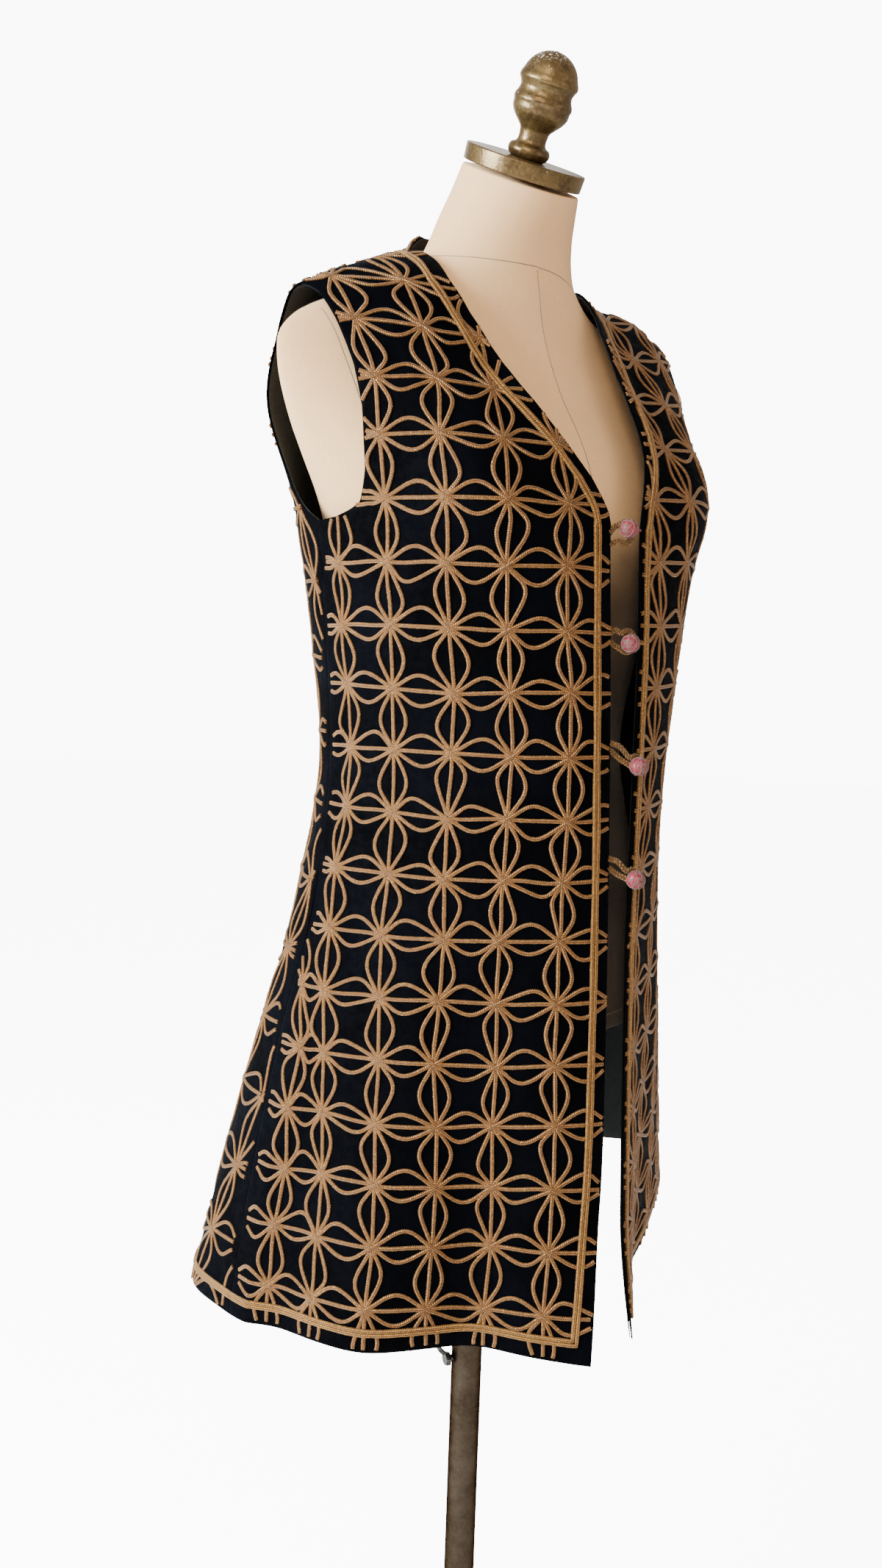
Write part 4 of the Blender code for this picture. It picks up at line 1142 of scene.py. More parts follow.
@dataclass
class CordLattice:
    """Three-cord lattice that is couched on a half cloth.

    Attributes:
        columns: run, girth of the first column there.
        pitch_u: distance between columns.
        pitch_v: distance between rows.
        start_v: run of one row of crossings.
        last: run, distance from the fifth to the sixth column of a front there.
        sway: how far the outer cords swing out, as a share of the pitch.
        margin: bare cloth between the ends of the rows and the side seams.
    """

    columns: Array
    pitch_u: float
    pitch_v: float
    start_v: float
    last: Array
    sway: float = 0.232
    margin: float = 0.0055
    width: float = 0.0037
    height: float = 0.0024
    step: float = 0.0024
    seed: int = 11

    def crossing(self, i: int, j: int, shift: Array) -> tuple[float, float]:
        """Place of one crossing, a little off its true place."""
        du, dv = shift[i % 64, j % 64]
        v = self.start_v + self.pitch_v * j + dv
        u = float(np.interp(v, self.columns[:, 0], self.columns[:, 1])) + self.pitch_u * min(i, 4)
        if i > 4:
            u += float(np.interp(v, self.last[:, 0], self.last[:, 1])) + self.pitch_u * (i - 5)
        return u + du, v

    def runs(self, cloth: HalfCloth) -> list[tuple[Array, Array]]:
        """Lay every cord of the lattice on a half cloth.

        Args:
            cloth: the half to cover.

        Returns:
            Points and outward directions of each cord.
        """
        source = np.random.default_rng(self.seed + 7 * cloth.side + (
            100 if cloth.panel is Panel.BACK else 0))
        shift = source.normal(0.0, 0.0011, (64, 64, 2))
        if cloth.panel is Panel.BACK:
            shift[0, :, 0] = 0.0
            shift[0, :, 1] = np.random.default_rng(self.seed).normal(0.0, 0.0011, 64)
        swing = source.normal(1.0, 0.13, (64, 64, 4)).clip(0.72, 1.28)
        skew = source.normal(0.0, 0.055, (64, 64, 4)).clip(-0.12, 0.12)
        laid: list[tuple[Array, Array]] = []
        for upright, numbers in ((True, range(8)), (False, range(-14, 9))):
            for number, way in product(numbers, (-1, 0, 1)):
                laid += self.line(cloth, shift, swing, skew, upright, number, way)
        return laid

    def line(self, cloth: HalfCloth, shift: Array, swing: Array, skew: Array, upright: bool,
             number: int, way: int) -> list[tuple[Array, Array]]:
        """One cord of a column or a row, cut where the cloth ends."""
        spans = range(-14, 9) if upright else range(-1, 8)
        us, vs, lifts, bows = [], [], [], []
        for k in spans:
            (u0, v0), (u1, v1) = (self.crossing(*((number, n) if upright else (n, number)), shift)
                                  for n in (k, k + 1))
            t = np.linspace(0, 1, int(round(self.pitch_v / self.step)), endpoint=False)
            parity = way * (1 if (k % 2) == 0 else -1)
            slot = (0 if upright else 2) + (0 if parity > 0 else 1)
            size, lean = swing[number % 64, k % 64, slot], skew[number % 64, k % 64, slot]
            first, second = 0.34 + 0.8 * lean, 0.66 + 0.8 * lean + 0.06 * (size - 1.0)
            bow = size * parity * np.interp(t, (0.0, 0.04, first, 0.5 + lean, second, 0.96, 1.0),
                                            (0.0, 0.07, 0.88 - lean, 1.06, 0.88 + lean, 0.07, 0.0))
            if not way:
                bow = 0.6 * lean * np.sin(2 * np.pi * t)
            us.append(u0 + (u1 - u0) * t)
            vs.append(v0 + (v1 - v0) * t)
            bows.append(bow * self.sway * (self.pitch_u if upright else self.pitch_v))
            near = np.exp(-(np.minimum(t, 1 - t) / 0.10) ** 2)
            lifts.append(near * (0.0002 + (0.0 if upright else 0.0006) + 0.0003 * (way > 0)))
        u, v, lift, bow = (np.concatenate(part) for part in (us, vs, lifts, bows))
        if cloth.panel is Panel.BACK and upright and not number:
            if way < 0 or (not way and cloth.side > 0):
                return []
            bow = np.abs(bow)
        bow = np.convolve(bow, (0.09, 0.24, 0.34, 0.24, 0.09), "same")
        table = cloth.levels
        inner, outer = cloth.edge_table
        level = cloth.level_of(u, v)
        if not upright:
            ahead = np.interp(level, table, outer) - u
            bow = bow * (1.0 - 0.45 * np.exp(-(np.clip(ahead - self.margin, 0, 1) / 0.007) ** 2))
        u, v = (u + bow, v) if upright else (u, v + bow)
        level = cloth.level_of(u, v)
        low, high = np.interp(level, table, inner), np.interp(level, table, outer)
        seam = 0.002 if upright else self.margin + 0.0008 * way
        seam = np.where(level <= 1.0, seam, seam * np.clip(1 - (level - 1.0) / 0.06, 0.0, 1.0))
        limit = np.interp(u, cloth.girths, cloth.runs[-1])
        bare = np.where((low < 1e-6) & (cloth.panel is Panel.BACK), -0.0005, 0.0012)
        inside = (u > low + bare) & (u < high - seam - 0.0010) & (v > cloth.hem_z + 0.0022)
        inside &= v < limit - 0.0015
        cuts = np.flatnonzero(np.diff(np.concatenate([[0], inside.astype(int), [0]])))
        found = []
        for a, b in zip(cuts[::2], cuts[1::2]):
            if b - a < (5 if not upright else 14 if cloth.panel is Panel.BACK else 8):
                continue
            points, outs = cloth.sample(u[a:b], level[a:b])
            found.append((points + outs * (0.00035 + lift[a:b])[:, None], outs))
        return found


@dataclass
class CordBorder:
    """Two cords side by side along the front edges, the neck and the hem.

    Attributes:
        inset: distance of the border from the right and the left front edge.
        inset_neck: the same beside the neck.
        up: distance of the border from the hem.
        cords: offsets of the two cords inside the border.
        size: width and height of a cord.
        lift: how far its middle lies above the velvet.
    """

    inset: tuple[float, float] = (0.0100, 0.0046)
    inset_neck: float = 0.014
    up: float = 0.0120
    cords: tuple[float, float] = (0.0024, 0.0056)
    size: tuple[float, float] = (0.0036, 0.0028)
    lift: float = 0.0010

    def front(self, cloth: HalfCloth) -> list[tuple[Array, Array]]:
        """Cords down a front's edge, round its corner and along the hem."""
        laid = []
        for n, offset in enumerate(self.cords):
            low = (self.up + offset) / ARMPIT_RUN
            levels = np.concatenate([np.linspace(1.995, 1.0, 130), np.linspace(1.0, low, 240)[1:]])
            inner = np.array([cloth.edges(level)[0] for level in levels])
            climb = np.clip(levels - 1.0, 0.0, 1.0)
            away = self.inset[0 if cloth.side < 0 else 1]
            inset = away + (self.inset_neck - away) * climb + offset
            us = inner + inset + 0.0004 * np.sin(levels * 37 + n * 2) * np.clip(levels - low, 0, 1)
            end = cloth.edges(low)[1] - 0.0006
            along = np.linspace(us[-1], end, 110)[1:]
            us = np.concatenate([us, along])
            levels = np.concatenate([levels, np.full(len(along), low)])
            laid.append(self.lay(cloth, us, levels))
        return laid

    def across(self, halves: list[HalfCloth], path: Callable[[HalfCloth, float], tuple[
            Array, Array]]) -> list[tuple[Array, Array]]:
        """Lay each cord over both halves of the back.

        Args:
            halves: the right half and the left half.
            path: girths and levels on a half, from its outer end to the centre.

        Returns:
            Points and outward directions of each cord, from the right side to the left one.
        """
        laid = []
        for offset in self.cords:
            right, left = (self.lay(cloth, *path(cloth, offset)) for cloth in halves)
            laid.append(tuple(np.concatenate([a, b[::-1][1:]]) for a, b in zip(right, left)))
        return laid

    def hem(self, cloth: HalfCloth, offset: float) -> tuple[Array, Array]:
        """Way of a cord from the side seam along the back's hem to its centre."""
        low = (self.up + offset) / ARMPIT_RUN
        return np.linspace(cloth.edges(low)[1] - 0.0006, 0.0, 110), np.full(110, low)

    def neck(self, cloth: HalfCloth, offset: float) -> tuple[Array, Array]:
        """Way of a cord from the shoulder to the centre back, beside the neck's edge."""
        rows = np.linspace(1.999, 1.40, 180)
        us = np.array([cloth.edges(level)[0] for level in rows])
        rows, us = rows[: np.argmin(us) + 1], us[: np.argmin(us) + 1]
        edge = np.stack([us, cloth.run_of(us, rows)], axis=-1)
        edge = np.concatenate([edge, (edge * (-1, 1))[::-1][1:]])
        far = runs_along(edge)
        place = np.linspace(0, far[-1], 201)
        edge = np.stack([np.interp(place, far, column) for column in edge.T], axis=-1)
        wide = np.pad(edge, ((9, 9), (0, 0)), mode="reflect", reflect_type="odd")
        edge = np.stack([np.convolve(column, np.full(19, 1 / 19), "valid")
                         for column in wide.T], axis=-1)
        ahead = np.gradient(edge, axis=0)
        ahead /= np.hypot(*ahead.T)[:, None]
        edge += np.stack([-ahead[:, 1], ahead[:, 0]], axis=-1) * (0.0095 + offset)
        us = np.clip(edge[:101, 0], 0, 1)
        us[-1] = 0.0
        return us, cloth.level_of(us, edge[:101, 1])

    def lay(self, cloth: HalfCloth, us: Array, levels: Array) -> tuple[Array, Array]:
        """Points of a cord that lies on the cloth."""
        points, outs = cloth.sample(us, levels)
        return points + outs * self.lift, outs


@dataclass
class Vest:
    """The garment: velvet panels, lining, couched cords, buttons and loops.

    Attributes:
        velvet: outer and inner face of the velvet from its outline surface.
        lining: the same for the lining.
    """

    shop: Workshop
    velvet: tuple[float, float] = (0.0, -0.0016)
    lining: tuple[float, float] = (-0.0020, -0.0030)
    panels: list[ClothPanel] = field(default_factory=list)

    def build(self) -> None:
        """Build every piece of the vest."""
        self.cloths = {(p, s): HalfCloth(p, s) for p in Panel for s in Side}
        right = self.cloths[Panel.FRONT, Side.RIGHT]
        left = self.cloths[Panel.FRONT, Side.LEFT]
        backs = [self.cloths[Panel.BACK, Side.RIGHT], self.cloths[Panel.BACK, Side.LEFT]]
        self.panels = [ClothPanel("front_right", [right], (0.36, 0.95), 0.220),
                       ClothPanel("front_left", [left], (0.36, 0.95), 0.220),
                       ClothPanel("back", backs, (0.76, 0.95), 0.470)]
        borders = {"front_right": (right, "border_front_right"),
                   "front_left": (left, "border_front_left")}
        border = CordBorder()
        fronts = {Side.RIGHT: CordLattice(FRONT_COLUMNS, 0.0475, 0.0492, 1.165, LAST_COLUMN),
                  Side.LEFT: CordLattice(LEFT_COLUMNS, 0.0475, 0.0505, 1.125, LAST_COLUMN)}
        backs_lattice = CordLattice(np.array([(0.49, 0.0), (1.4, 0.0)]), 0.0550, 0.0610, 1.160,
                                    np.array([(0.49, 0.055), (1.4, 0.055)]), seed=23)
        for panel in self.panels:
            cells = 64 if len(panel.halves) == 1 else 52
            cloth = panel.shell(self.shop, panel.name + "_velvet", *self.velvet, 0.0, cells, 200,
                                "black_velvet")
            self.shop.finish(cloth, panel.name)
            trims = []
            for half in panel.halves:
                end = "" if len(panel.halves) == 1 else ("_r" if half.side < 0 else "_l")
                lattice = fronts[half.side] if len(panel.halves) == 1 else backs_lattice
                trims.append(self.shop.trim(panel.name + "_lattice" + end, lattice.runs(half),
                                            lattice.width, lattice.height, "gold_cord"))
            if panel.name in borders:
                half, node = borders[panel.name]
                laid = [(node + "_cords", border.front(half), (node,))]
            else:
                laid = [("border_back_hem_cords", border.across(panel.halves, border.hem),
                         ("border_back_hem",)),
                        ("border_back_neck_cords", border.across(panel.halves, border.neck), ())]
            trims += [self.shop.trim(name, runs, *border.size, "bright_cord", 8, *nodes)
                      for name, runs, nodes in laid]
            inner = panel.shell(self.shop, "lining_" + panel.name + "_cloth", *self.lining, 0.0009,
                                40, 130, "charcoal_lining")
            self.shop.finish(inner, "lining_" + panel.name)
        Fastenings(self.shop, right, left).build()


@dataclass
class Fastenings:
    """Netted ball buttons on the left front and plaited loops on the right front.

    Attributes:
        balls: x, y and height of each ball's middle.
        ball_r: radius of a ball.
        plait_r: half the width of a loop's plait.
        stub: length of the lower two shanks.
        thread: width and height of the net's threads.
        ring: the same of the threads that go round it.
        arms: how far above the ball each loop's two ends leave the edge.
        hang: how far each ring lies above and behind its ball's middle, and its size.
    """

    shop: Workshop
    right: HalfCloth
    left: HalfCloth
    balls: tuple[tuple[float, float, float], ...] = (
        (0.001, -0.1635, 1.148), (0.0073, -0.1650, 1.059), (0.0160, -0.1725, 0.962),
        (0.0150, -0.1760, 0.871))
    arms: tuple[tuple[float, float], ...] = (
        (-0.0050, -0.0115), (0.0078, 0.0018), (0.0180, 0.0125), (0.0160, 0.0090))
    hang: tuple[tuple[float, float, float], ...] = (
        (-0.0032, 0.0042, 0.88), (0.0014, 0.0042, 0.88), (0.0030, 0.0056, 0.5),
        (0.0030, 0.0056, 0.5))
    ball_r: float = 0.0078
    plait_r: float = 0.0021
    stub: float = 0.0103
    thread: tuple[float, float] = (0.00062, 0.00056)
    ring: tuple[float, float] = (0.0008, 0.0007)

    def build(self) -> None:
        """Build each button with its loop."""
        for n, (x, y, z) in enumerate(self.balls, 1):
            centre = np.array([x, y, z])
            edge = self.edge(self.left, z)
            reach = edge - centre if n <= 2 else np.array([0.004, edge[1] - y, 0.0])
            reach = reach / np.linalg.norm(reach)
            self.button(n, centre, reach, np.linalg.norm(edge - centre) if n <= 2 else self.stub)
            self.loop(n, centre)

    @staticmethod
    def edge(cloth: HalfCloth, z: float) -> Array:
        """Middle of a front's cut edge at a height."""
        level = (z - cloth.hem_z) / (cloth.arm_z - cloth.hem_z)
        points, outs = cloth.sample(np.array([cloth.edges(level)[0]]), np.array([level]))
        return points[0] - outs[0] * 0.0008

    def button(self, n: int, centre: Array, reach: Array, length: float) -> None:
        """One silk ball on its shank, with a net of silver thread knotted at the front."""
        axis = Vector(-reach)
        spin = Vector((0, 0, 1)).rotation_difference(axis).to_matrix().to_4x4()
        place = Matrix.Translation(Vector(centre)) @ spin
        r = self.ball_r - 0.0006
        arc = np.linspace(0.0, math.pi - 0.16, 26)
        profile = [(r * math.cos(t), max(r * math.sin(t), 1e-5)) for t in arc]
        profile += [(-r - 0.0004, 0.0013), (-length + 0.0002, 0.0012), (-length, 0.0008)]
        ball = self.shop.lathe("button_%d_silk" % n, np.array(profile), "pink_silk", 48, place)
        self.shop.finish(ball, "button_%d" % n)
        side = spin @ Vector((1, 0, 0))
        axes = np.array([side, axis.cross(side), axis])
        for label, twist, count in (("a", 1.25, 6), ("b", -1.05, 5), ("c", 0.1, 2)):
            t = np.linspace(0.13, math.pi - 0.24, 30)
            phi = twist * (t - math.pi / 2) + 0.3 * n
            bulge = self.ball_r - 0.00035 + 0.0001 * np.sin(5 * t)
            outs = np.stack([np.sin(t) * np.cos(phi), np.sin(t) * np.sin(phi),
                             np.cos(t)], axis=-1) @ axes
            thread = self.shop.cords("button_%d_strand_%s" % (n, label),
                                     [(centre + outs * bulge[:, None], outs)], *self.thread,
                                     "silver_net", 5)
            self.shop.finish(self.shop.evaluate(
                thread, "button_%d_net_%s" % (n, label), self.shop.turn_tree, "silver_net",
                {"Centre": tuple(centre), "Axis": tuple(axis), "Count": count}))
        rings = []
        for height in (0.55, -0.40, 0.93):
            turn = np.linspace(0, 2 * math.pi, 40)
            wide = math.sqrt(1 - height * height)
            outs = unit(np.stack([wide * np.cos(turn), wide * np.sin(turn),
                                  height + 0.06 * np.sin(3 * turn)], axis=-1) @ axes)
            rings.append((centre + outs * (self.ball_r - 0.0003), outs))
        self.shop.trim("button_%d_rings" % n, rings, *self.ring, "silver_net", 5)

    def loop(self, n: int, centre: Array) -> None:
        """One plaited loop from under the right front's edge and round the ball."""
        start = self.edge(self.right, centre[2]) + np.array([-0.0012, 0.0008, 0])
        up, behind, size = self.hang[n - 1]
        centre = centre + np.array([0.0, behind, up])
        around = (self.ball_r + self.plait_r - 0.0004) * size
        arc = np.radians(np.linspace(128, -128, 25))
        ring = [centre + around * np.array([math.cos(t), 0.0, math.sin(t)]) for t in arc]
        high, low = self.arms[n - 1]
        first, last = start + np.array([0.0004, 0, high]), start + np.array([0.0004, 0, low])
        path = [first, first * 0.6 + ring[0] * 0.4 + np.array([0, 0, 0.002])] + ring
        path += [last * 0.6 + ring[-1] * 0.4 - np.array([0, 0, 0.001]), last]
        s, line = smooth_line(np.array(path), 150)
        tangent = unit(np.gradient(line, axis=0))
        front = np.tile((0.0, -1.0, 0.0), (len(s), 1))
        front = unit(front - tangent * np.sum(front * tangent, axis=1)[:, None])
        across = np.cross(tangent, front)
        strands = []
        for k in range(3):
            turn = 2 * math.pi * (s / 0.0072 + k / 3)
            strand = line + across * (np.sin(turn) * 0.00155)[:, None] \
                + front * (np.sin(2 * turn) * 0.00070)[:, None]
            strands.append((strand, front))
        self.shop.trim("loop_%d_plait" % n, strands, 0.0021, 0.0018, "gold_plait", 6,
                       "loop_%d" % n)


# ------------------------------------------------------------------ the dress form
@dataclass
class DressForm:
    """Linen-covered limbless form with its seams.

    Attributes:
        rows: centre y, centre z, forward tilt in degrees, half width, front, back, and the
            superellipse powers of front and back.
    """

    shop: Workshop
    rows: tuple[tuple[float, ...], ...] = (
        (.0, .73, 0, .153, .123, .114, 2.1, 2.2), (.0, .734, 0, .158, .128, .119, 2.1, 2.2),
        (.0, .76, 0, .159, .129, .12, 2.0, 2.2), (.0, .8, 0, .156, .126, .117, 2.0, 2.2),
        (.0, .85, 0, .147, .12, .11, 2.0, 2.2), (.0, .9, 0, .134, .114, .099, 2.0, 2.2),
        (.0, .95, 0, .124, .107, .091, 2.0, 2.2), (.0, .99, 0, .124, .107, .091, 2.0, 2.2),
        (.0, 1.04, 0, .133, .115, .096, 2.0, 2.2), (.0, 1.09, 0, .146, .124, .101, 2.0, 2.2),
        (.0, 1.135, 0, .158, .129, .105, 1.9, 2.1), (.0, 1.17, 0, .171, .125, .106, 1.75, 2.0),
        (.0, 1.2, 0, .19, .115, .106, 1.55, 1.8), (.0, 1.225, 0, .205, .101, .105, 1.43, 1.65),
        (.0, 1.25, 0, .216, .083, .102, 1.4, 1.52), (.001, 1.27, 0, .22, .072, .097, 1.38, 1.46),
        (.002, 1.288, 0, .219, .064, .09, 1.36, 1.44),
        (.004, 1.302, 0, .208, .06, .084, 1.38, 1.46),
        (.006, 1.313, 0, .192, .058, .079, 1.42, 1.52),
        (.007, 1.324, 0, .168, .056, .075, 1.5, 1.68), (.008, 1.335, 0, .14, .055, .07, 1.6, 1.75),
        (.009, 1.345, 0, .118, .054, .066, 1.7, 1.8), (.01, 1.354, 1, .099, .053, .063, 1.85, 1.9),
        (.01, 1.364, 3, .083, .052, .06, 1.95, 2.0), (.009, 1.375, 6, .072, .051, .056, 2.0, 2.0),
        (.006, 1.388, 10, .0655, .05, .055, 2.0, 2.0),
        (.001, 1.403, 15, .0605, .05, .054, 2.0, 2.0),
        (-.007, 1.42, 20, .0555, .05, .052, 2.0, 2.0),
        (-.0145, 1.437, 25, .0515, .05, .0505, 2.0, 2.0),
        (-.0158, 1.4398, 25, .0505, .049, .0495, 2.0, 2.0))
    sides: int = 168
    steps: int = 4

    def point(self, row: float, turn: float) -> Array:
        """Point of the body at a fractional row and a turn from the centre front."""
        table = np.array(self.rows, float)
        index = np.arange(len(table))
        cy, cz, tilt, w, f, b, nf, nb = (through(row, index, table[:, c]) for c in range(8))
        lean = math.radians(tilt)
        sin, cos = math.sin(turn), math.cos(turn)
        power = 2 / (nf if cos > 0 else nb)
        x = w * math.copysign(abs(sin) ** power, sin)
        y = -(f if cos > 0 else b) * math.copysign(abs(cos) ** power, cos)
        z = cz + y * math.sin(lean)
        return np.array([x, cy + y * math.cos(lean), z - float(shoulder_drop(x, z))])

    def build(self) -> None:
        """Build the body and its seams."""
        count = (len(self.rows) - 1) * self.steps + 1
        stations = np.linspace(0, len(self.rows) - 1, count)
        turns = np.linspace(0, 2 * math.pi, self.sides, endpoint=False)
        grid = np.array([[self.point(r, t) for t in turns] for r in stations])
        points = list(grid.reshape(-1, 3))
        faces = ring_faces(count, self.sides)
        for row in (0, count - 1):
            tip = len(points)
            points.append(grid[row].mean(axis=0))
            faces += [(row * self.sides + k, row * self.sides + (k + 1) % self.sides, tip)
                      for k in range(self.sides)]
        body = self.shop.mesh("form_linen", np.array(points), faces, "cream_linen")
        x, y, z = np.array(points).T
        lay_uv(body.data, np.stack([np.arctan2(x, -y) * 0.13, z], axis=-1))
        self.shop.finish(body, "form_body")
        self.seams(grid, stations)

    def seams(self, grid: Array, stations: Array) -> None:
        """Thin sunk seams: centre front and back, neck, shoulders, armholes and bottom."""
        outs = unit(np.cross(np.roll(grid, -1, axis=1) - np.roll(grid, 1, axis=1),
                             np.gradient(grid, axis=0)))
        half = self.sides // 2
        top = int(np.searchsorted(stations, 23.4))
        runs = [(grid[4:top, 0], outs[4:top, 0]), (grid[4:top, half], outs[4:top, half])]
        ring = np.arange(self.sides + 1) % self.sides
        runs.append((grid[top, ring], outs[top, ring]))
        runs.append((grid[6, ring], outs[6, ring]))
        start = int(np.searchsorted(stations, 17.6))
        for side in (-1, 1):
            quarter = int(round(self.sides * (0.25 if side > 0 else 0.75)))
            runs.append((grid[start:top, quarter - side], outs[start:top, quarter - side]))
            for span in ((0.0, 0.25), (0.25, 0.5)):
                runs.append(self.armhole(grid, outs, stations, side, span))
        runs = [(p - o * 0.00018, o) for p, o in runs if len(p) > 3]
        self.shop.trim("form_seams", runs, 0.0011, 0.0008, "seam_thread")

    def armhole(self, grid: Array, outs: Array, stations: Array, side: int,
                span: tuple[float, float]) -> tuple[Array, Array]:
        """Seam where a shoulder stump meets the body, cut by an upright plane."""
        points, away = [], []
        columns = [int(round(self.sides * s)) for s in span]
        for r, station in enumerate(stations):
            if not 10.6 < station < 18.0:
                continue
            plane = np.interp(grid[r, 0, 2], (1.145, 1.20, 1.27, 1.32),
                              (0.150, 0.158, 0.176, 0.188))
            line = [(abs(grid[r, (side * c) % self.sides, 0]), (side * c) % self.sides)
                    for c in range(columns[0], columns[1] + 1)]
            xs = np.array([x for x, _ in line])
            k = int(np.argmin(np.abs(xs - plane)))
            if abs(xs[k] - plane) > 0.012:
                continue
            j = min(max(k, 1), len(line) - 2)
            other = j + 1 if (xs[j + 1] - plane) * (xs[j] - plane) < 0 else j - 1
            share = float(np.clip((plane - xs[j]) / (xs[other] - xs[j] + 1e-12), 0.0, 1.0))
            a, b = line[j][1], line[other][1]
            points.append(grid[r, a] * (1 - share) + grid[r, b] * share)
            away.append(outs[r, a] * (1 - share) + outs[r, b] * share)
        return np.array(points), np.array(away)


# ------------------------------------------------------------------ the stand
@dataclass
class Stand:
    """Cap plate, finial, tubes, clamp and base.

    Attributes:
        tilt: forward tilt of the neck, in degrees.
        plate_at: y and z of the cap plate's middle.
    """

    shop: Workshop
    tilt: float = 25.0
    plate_at: tuple[float, float] = (-0.0190, 1.4495)
    plate: tuple[float, float] = (0.0515, 0.0135)
    tube: tuple[float, float] = (0.0140, 0.0115)
    clamp_z: float = 0.430

    def build(self) -> None:
        """Build the metal parts."""
        lean = Matrix.Rotation(math.radians(self.tilt), 4, "X")
        middle = Matrix.Translation(Vector((0, *self.plate_at)))
        r, t = self.plate
        half, soft = t / 2, 0.0013
        arc = np.radians(np.linspace(0, 90, 7))
        disc = [(-half, 1e-4), (-half, r - 0.0016)]
        disc += [(-half + 0.0010 - 0.0010 * math.cos(a), r - 0.0016 + 0.0010 * math.sin(a))
                 for a in arc[1:]]
        disc += [(half - soft + soft * math.sin(a), r - soft + soft * math.cos(a)) for a in arc]
        disc += [(half, r - 0.004), (half - 0.0002, r * 0.6), (half, 1e-4)]
        self.add("neck_cap", np.array(disc), "aged_bronze", "neck_plate", 128,
                 middle @ lean)
        finial = [
            (.0003, .0001), (.0004, .0146), (.0026, .0168), (.0066, .0179), (.0098, .0165),
            (.0118, .013), (.0134, .0122), (.018, .012), (.0228, .013), (.0258, .0156),
            (.031, .0205), (.0368, .0236), (.041, .024), (.044, .0247), (.0462, .0242),
            (.0495, .0226), (.053, .022), (.0565, .0233), (.0596, .0248), (.0625, .0243),
            (.0648, .0232), (.0706, .0208), (.0768, .0158), (.0812, .0085), (.0829, .0001)]
        up = middle @ lean @ Matrix.Translation(Vector((0, 0, half)))
        self.add("turned_finial", smooth_profile(finial), "worn_bronze", "finial", 112, up)
        tube, slim = self.tube
        z = self.clamp_z
        self.add("lower_tube", np.array([(0.0603, 1e-4), (0.0603, tube), (z - 0.0013, tube),
                                         (z - 0.0003, tube - 0.001), (z - 0.0003, 1e-4)]),
                 "tube_bronze", "pole_lower")
        self.add("upper_tube", np.array([(z + 0.0003, 1e-4), (z + 0.0003, slim), (0.7297, slim),
                                         (0.7297, 1e-4)]),
                 "tube_bronze", "pole_upper")
        low, high, bore = z - 0.0095, z + 0.026, tube + 0.0004
        collar = [(low, bore), (low, 0.0212), (low + 0.0004, 0.0222), (low + 0.0014, 0.0225),
                  (z - 0.0030, 0.0225), (z - 0.0014, 0.0218), (z + 0.0006, 0.0196),
                  (z + 0.0026, 0.0182), (z + 0.0060, 0.0176), (high - 0.0006, 0.0175),
                  (high, 0.0169), (high, bore), (low, bore)]
        self.add("clamp_ring", np.array(collar), "aged_bronze", "clamp_collar")
        base = [(.0, .0001), (.0, .1955), (.0012, .1985), (.0034, .1999), (.0066, .2),
                (.0098, .1996), (.0124, .198), (.0146, .194), (.0168, .184), (.021, .15),
                (.024, .119), (.027, .09), (.0302, .064), (.034, .044), (.0388, .032),
                (.044, .0258), (.05, .0222), (.056, .0208), (.0588, .0202), (.06, .019),
                (.06, .0001)]
        self.add("round_base", np.array(base), "aged_bronze", "base", 160)
        self.lever()
        self.bolt()

    def add(self, name: str, profile: Array, finish: str, node: str, sides: int = 96,
            place: Matrix = Matrix.Identity(4)) -> None:
        """Turn one part, shade it smooth and keep its sharp corners sharp."""
        item = self.shop.lathe(name, profile, finish, sides, place)
        item.data.shade_smooth()
        sharp = item.data.attributes.new("sharp_edge", "BOOLEAN", "EDGE")
        shape = bmesh.new()
        shape.from_mesh(item.data)
        marks = [len(e.link_faces) == 2 and e.calc_face_angle() > math.radians(38)
                 for e in shape.edges]
        shape.free()
        sharp.data.foreach_set("value", marks)
        self.shop.finish(item, node)

    def lever(self) -> None:
        """Bent rod that tightens the clamp."""
        path = np.array([
            (-.031, .002, .437), (-.0335, .002, .429), (-.0337, .0022, .42), (-.0318, .0026, .412),
            (-.028, .0032, .405), (-.024, .0038, .4012)])
        _, line = smooth_line(path, 40)
        outs = np.tile((0.0, -1.0, 0.0), (len(line), 1))
        self.shop.trim("clamp_rod", [(line, outs)], 0.0042, 0.0042, "dull_steel", 16,
                       "clamp_lever")

    def bolt(self) -> None:
        """Hex head with chamfered corners and a short shaft towards the tube."""
        at = Vector((-0.0219, 0.0052, 0.3940))
        axis = Vector((-at.x, -at.y, 0)).normalized()
        place = Matrix.Translation(at) @ Vector((0, 0, 1)).rotation_difference(
            axis).to_matrix().to_4x4()
        corner, thick = 0.0112 / math.sqrt(3), 0.0046
        rows = ((0.0, corner * 0.84), (0.0006, corner), (thick - 0.0003, corner),
                (thick, corner * 0.95), (thick, 0.0030), (thick + 0.0032, 0.0030))
        sides = 24
        points = []
        for n, (h, r) in enumerate(rows):
            for k in range(sides):
                turn = 2 * math.pi * k / sides
                bend = (turn + math.pi / 6) % (math.pi / 3) - math.pi / 6
                flat = r * math.cos(math.pi / 6) / math.cos(math.pi / 6 - abs(bend))
                reach = flat if 0 < n < 4 else r
                points.append(place @ Vector((reach * math.cos(turn), reach * math.sin(turn), h)))
        faces = ring_faces(len(rows), sides)
        faces += [tuple(range(sides)), tuple(range((len(rows) - 1) * sides, len(rows) * sides))]
        item = self.shop.mesh("clamp_hex", np.array(points), faces, "dull_steel", False)
        self.shop.finish(item, "clamp_bolt")


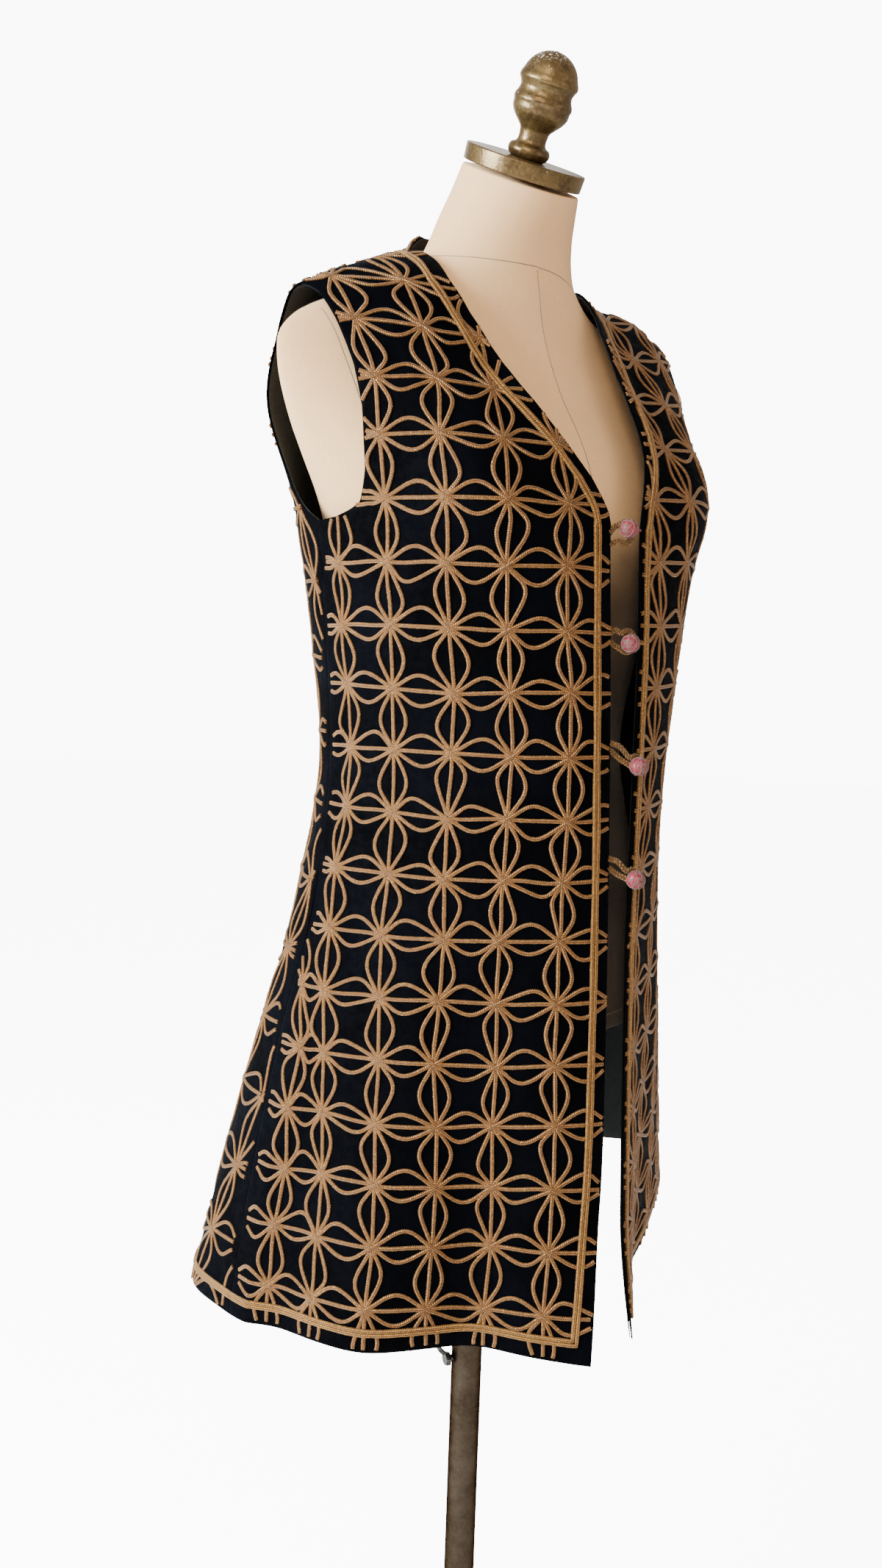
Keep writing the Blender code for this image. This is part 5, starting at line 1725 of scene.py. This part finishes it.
# ------------------------------------------------------------------ studio
@dataclass
class Studio:
    """Camera, floor, light and pale surroundings.

    Attributes:
        eye: place of the camera.
        yaw, pitch, roll: its direction in degrees; pitch is downwards.
        lens: focal length for a 36 mm sensor.
    """

    shop: Workshop
    eye: tuple[float, float, float] = (-0.784, -0.983, 1.075)
    yaw: float = -36.7
    pitch: float = 6.68
    roll: float = 1.87
    lens: float = 32.74
    ambient: float = 0.72
    warmth: Colour = (1.0, 0.94, 0.86)
    backdrop: float = 10.0

    def build(self) -> None:
        """Set up the whole studio."""
        self.camera()
        self.floor()
        self.lights()

    def camera(self) -> None:
        """Place the camera."""
        yaw, pitch, roll = (math.radians(a) for a in (self.yaw, self.pitch, self.roll))
        right = Vector((math.cos(yaw), math.sin(yaw), 0))
        level = Vector((-math.sin(yaw), math.cos(yaw), 0))
        ahead = level * math.cos(pitch) - Vector((0, 0, 1)) * math.sin(pitch)
        up = level * math.sin(pitch) + Vector((0, 0, 1)) * math.cos(pitch)
        x = right * math.cos(roll) + up * math.sin(roll)
        y = up * math.cos(roll) - right * math.sin(roll)
        data = bpy.data.cameras.new("camera")
        data.lens = self.lens
        data.sensor_width = 36.0
        data.sensor_fit = "AUTO"
        data.clip_start, data.clip_end = 0.02, 60.0
        item = link("camera", data)
        turn = Matrix((x, y, -ahead)).transposed().to_4x4()
        item.matrix_world = Matrix.Translation(Vector(self.eye)) @ turn
        bpy.context.scene.camera = item

    def floor(self) -> None:
        """Lay a wide pale floor."""
        profile = np.array([(-0.0210, 9.0), (-0.0010, 9.0), (-0.0006, 8.99), (-0.0006, 1e-4)])
        item = self.shop.lathe("floor", profile, "pale_floor", 96)

    def lights(self) -> None:
        """Big soft lights from the camera's left, from the right and from above."""
        world = bpy.data.worlds.new("studio")
        bpy.context.scene.world = world
        world.use_nodes = True
        kit = Nodes(world.node_tree)
        seen = kit.add("ShaderNodeLightPath").outputs["Is Camera Ray"]
        kit.put(world.node_tree.nodes["Background"], {
            "Color": kit.mix(seen, self.warmth, (1.0, 1.0, 1.0)),
            "Strength": kit.mad(seen, self.backdrop - self.ambient, self.ambient)})
        for name, place, size, power, tint in (
                ("key", (-2.3, 0.4, 1.7), 1.4, 250.0, (0.84, 0.95, 0.98)),
                ("fill", (1.2, -2.6, 1.4), 1.8, 12.0, (1.0, 0.84, 0.68)),
                ("front", (-2.0, -1.9, 2.3), 1.5, 56.0, (1.0, 0.85, 0.66)),
                ("rim", (0.9, 2.0, 2.2), 1.6, 16.0, (1.0, 1.0, 1.0))):
            data = bpy.data.lights.new(name, "AREA")
            data.shape, data.size, data.energy = "DISK", size, power
            data.color = tint
            aim = Vector((0, 0, 0.95)) - Vector(place)
            link(name, data).matrix_world = Matrix.Translation(Vector(place)) @ aim.to_track_quat(
                "-Z", "Y").to_matrix().to_4x4()


def main() -> None:
    """Build the studio, the dress form, the stand and the vest in order."""
    logging.basicConfig(level=logging.INFO, format="%(name)s: %(message)s")
    shop = Workshop()
    Studio(shop).build()
    DressForm(shop).build()
    Stand(shop).build()
    Vest(shop).build()


if __name__ == "__main__":
    main()
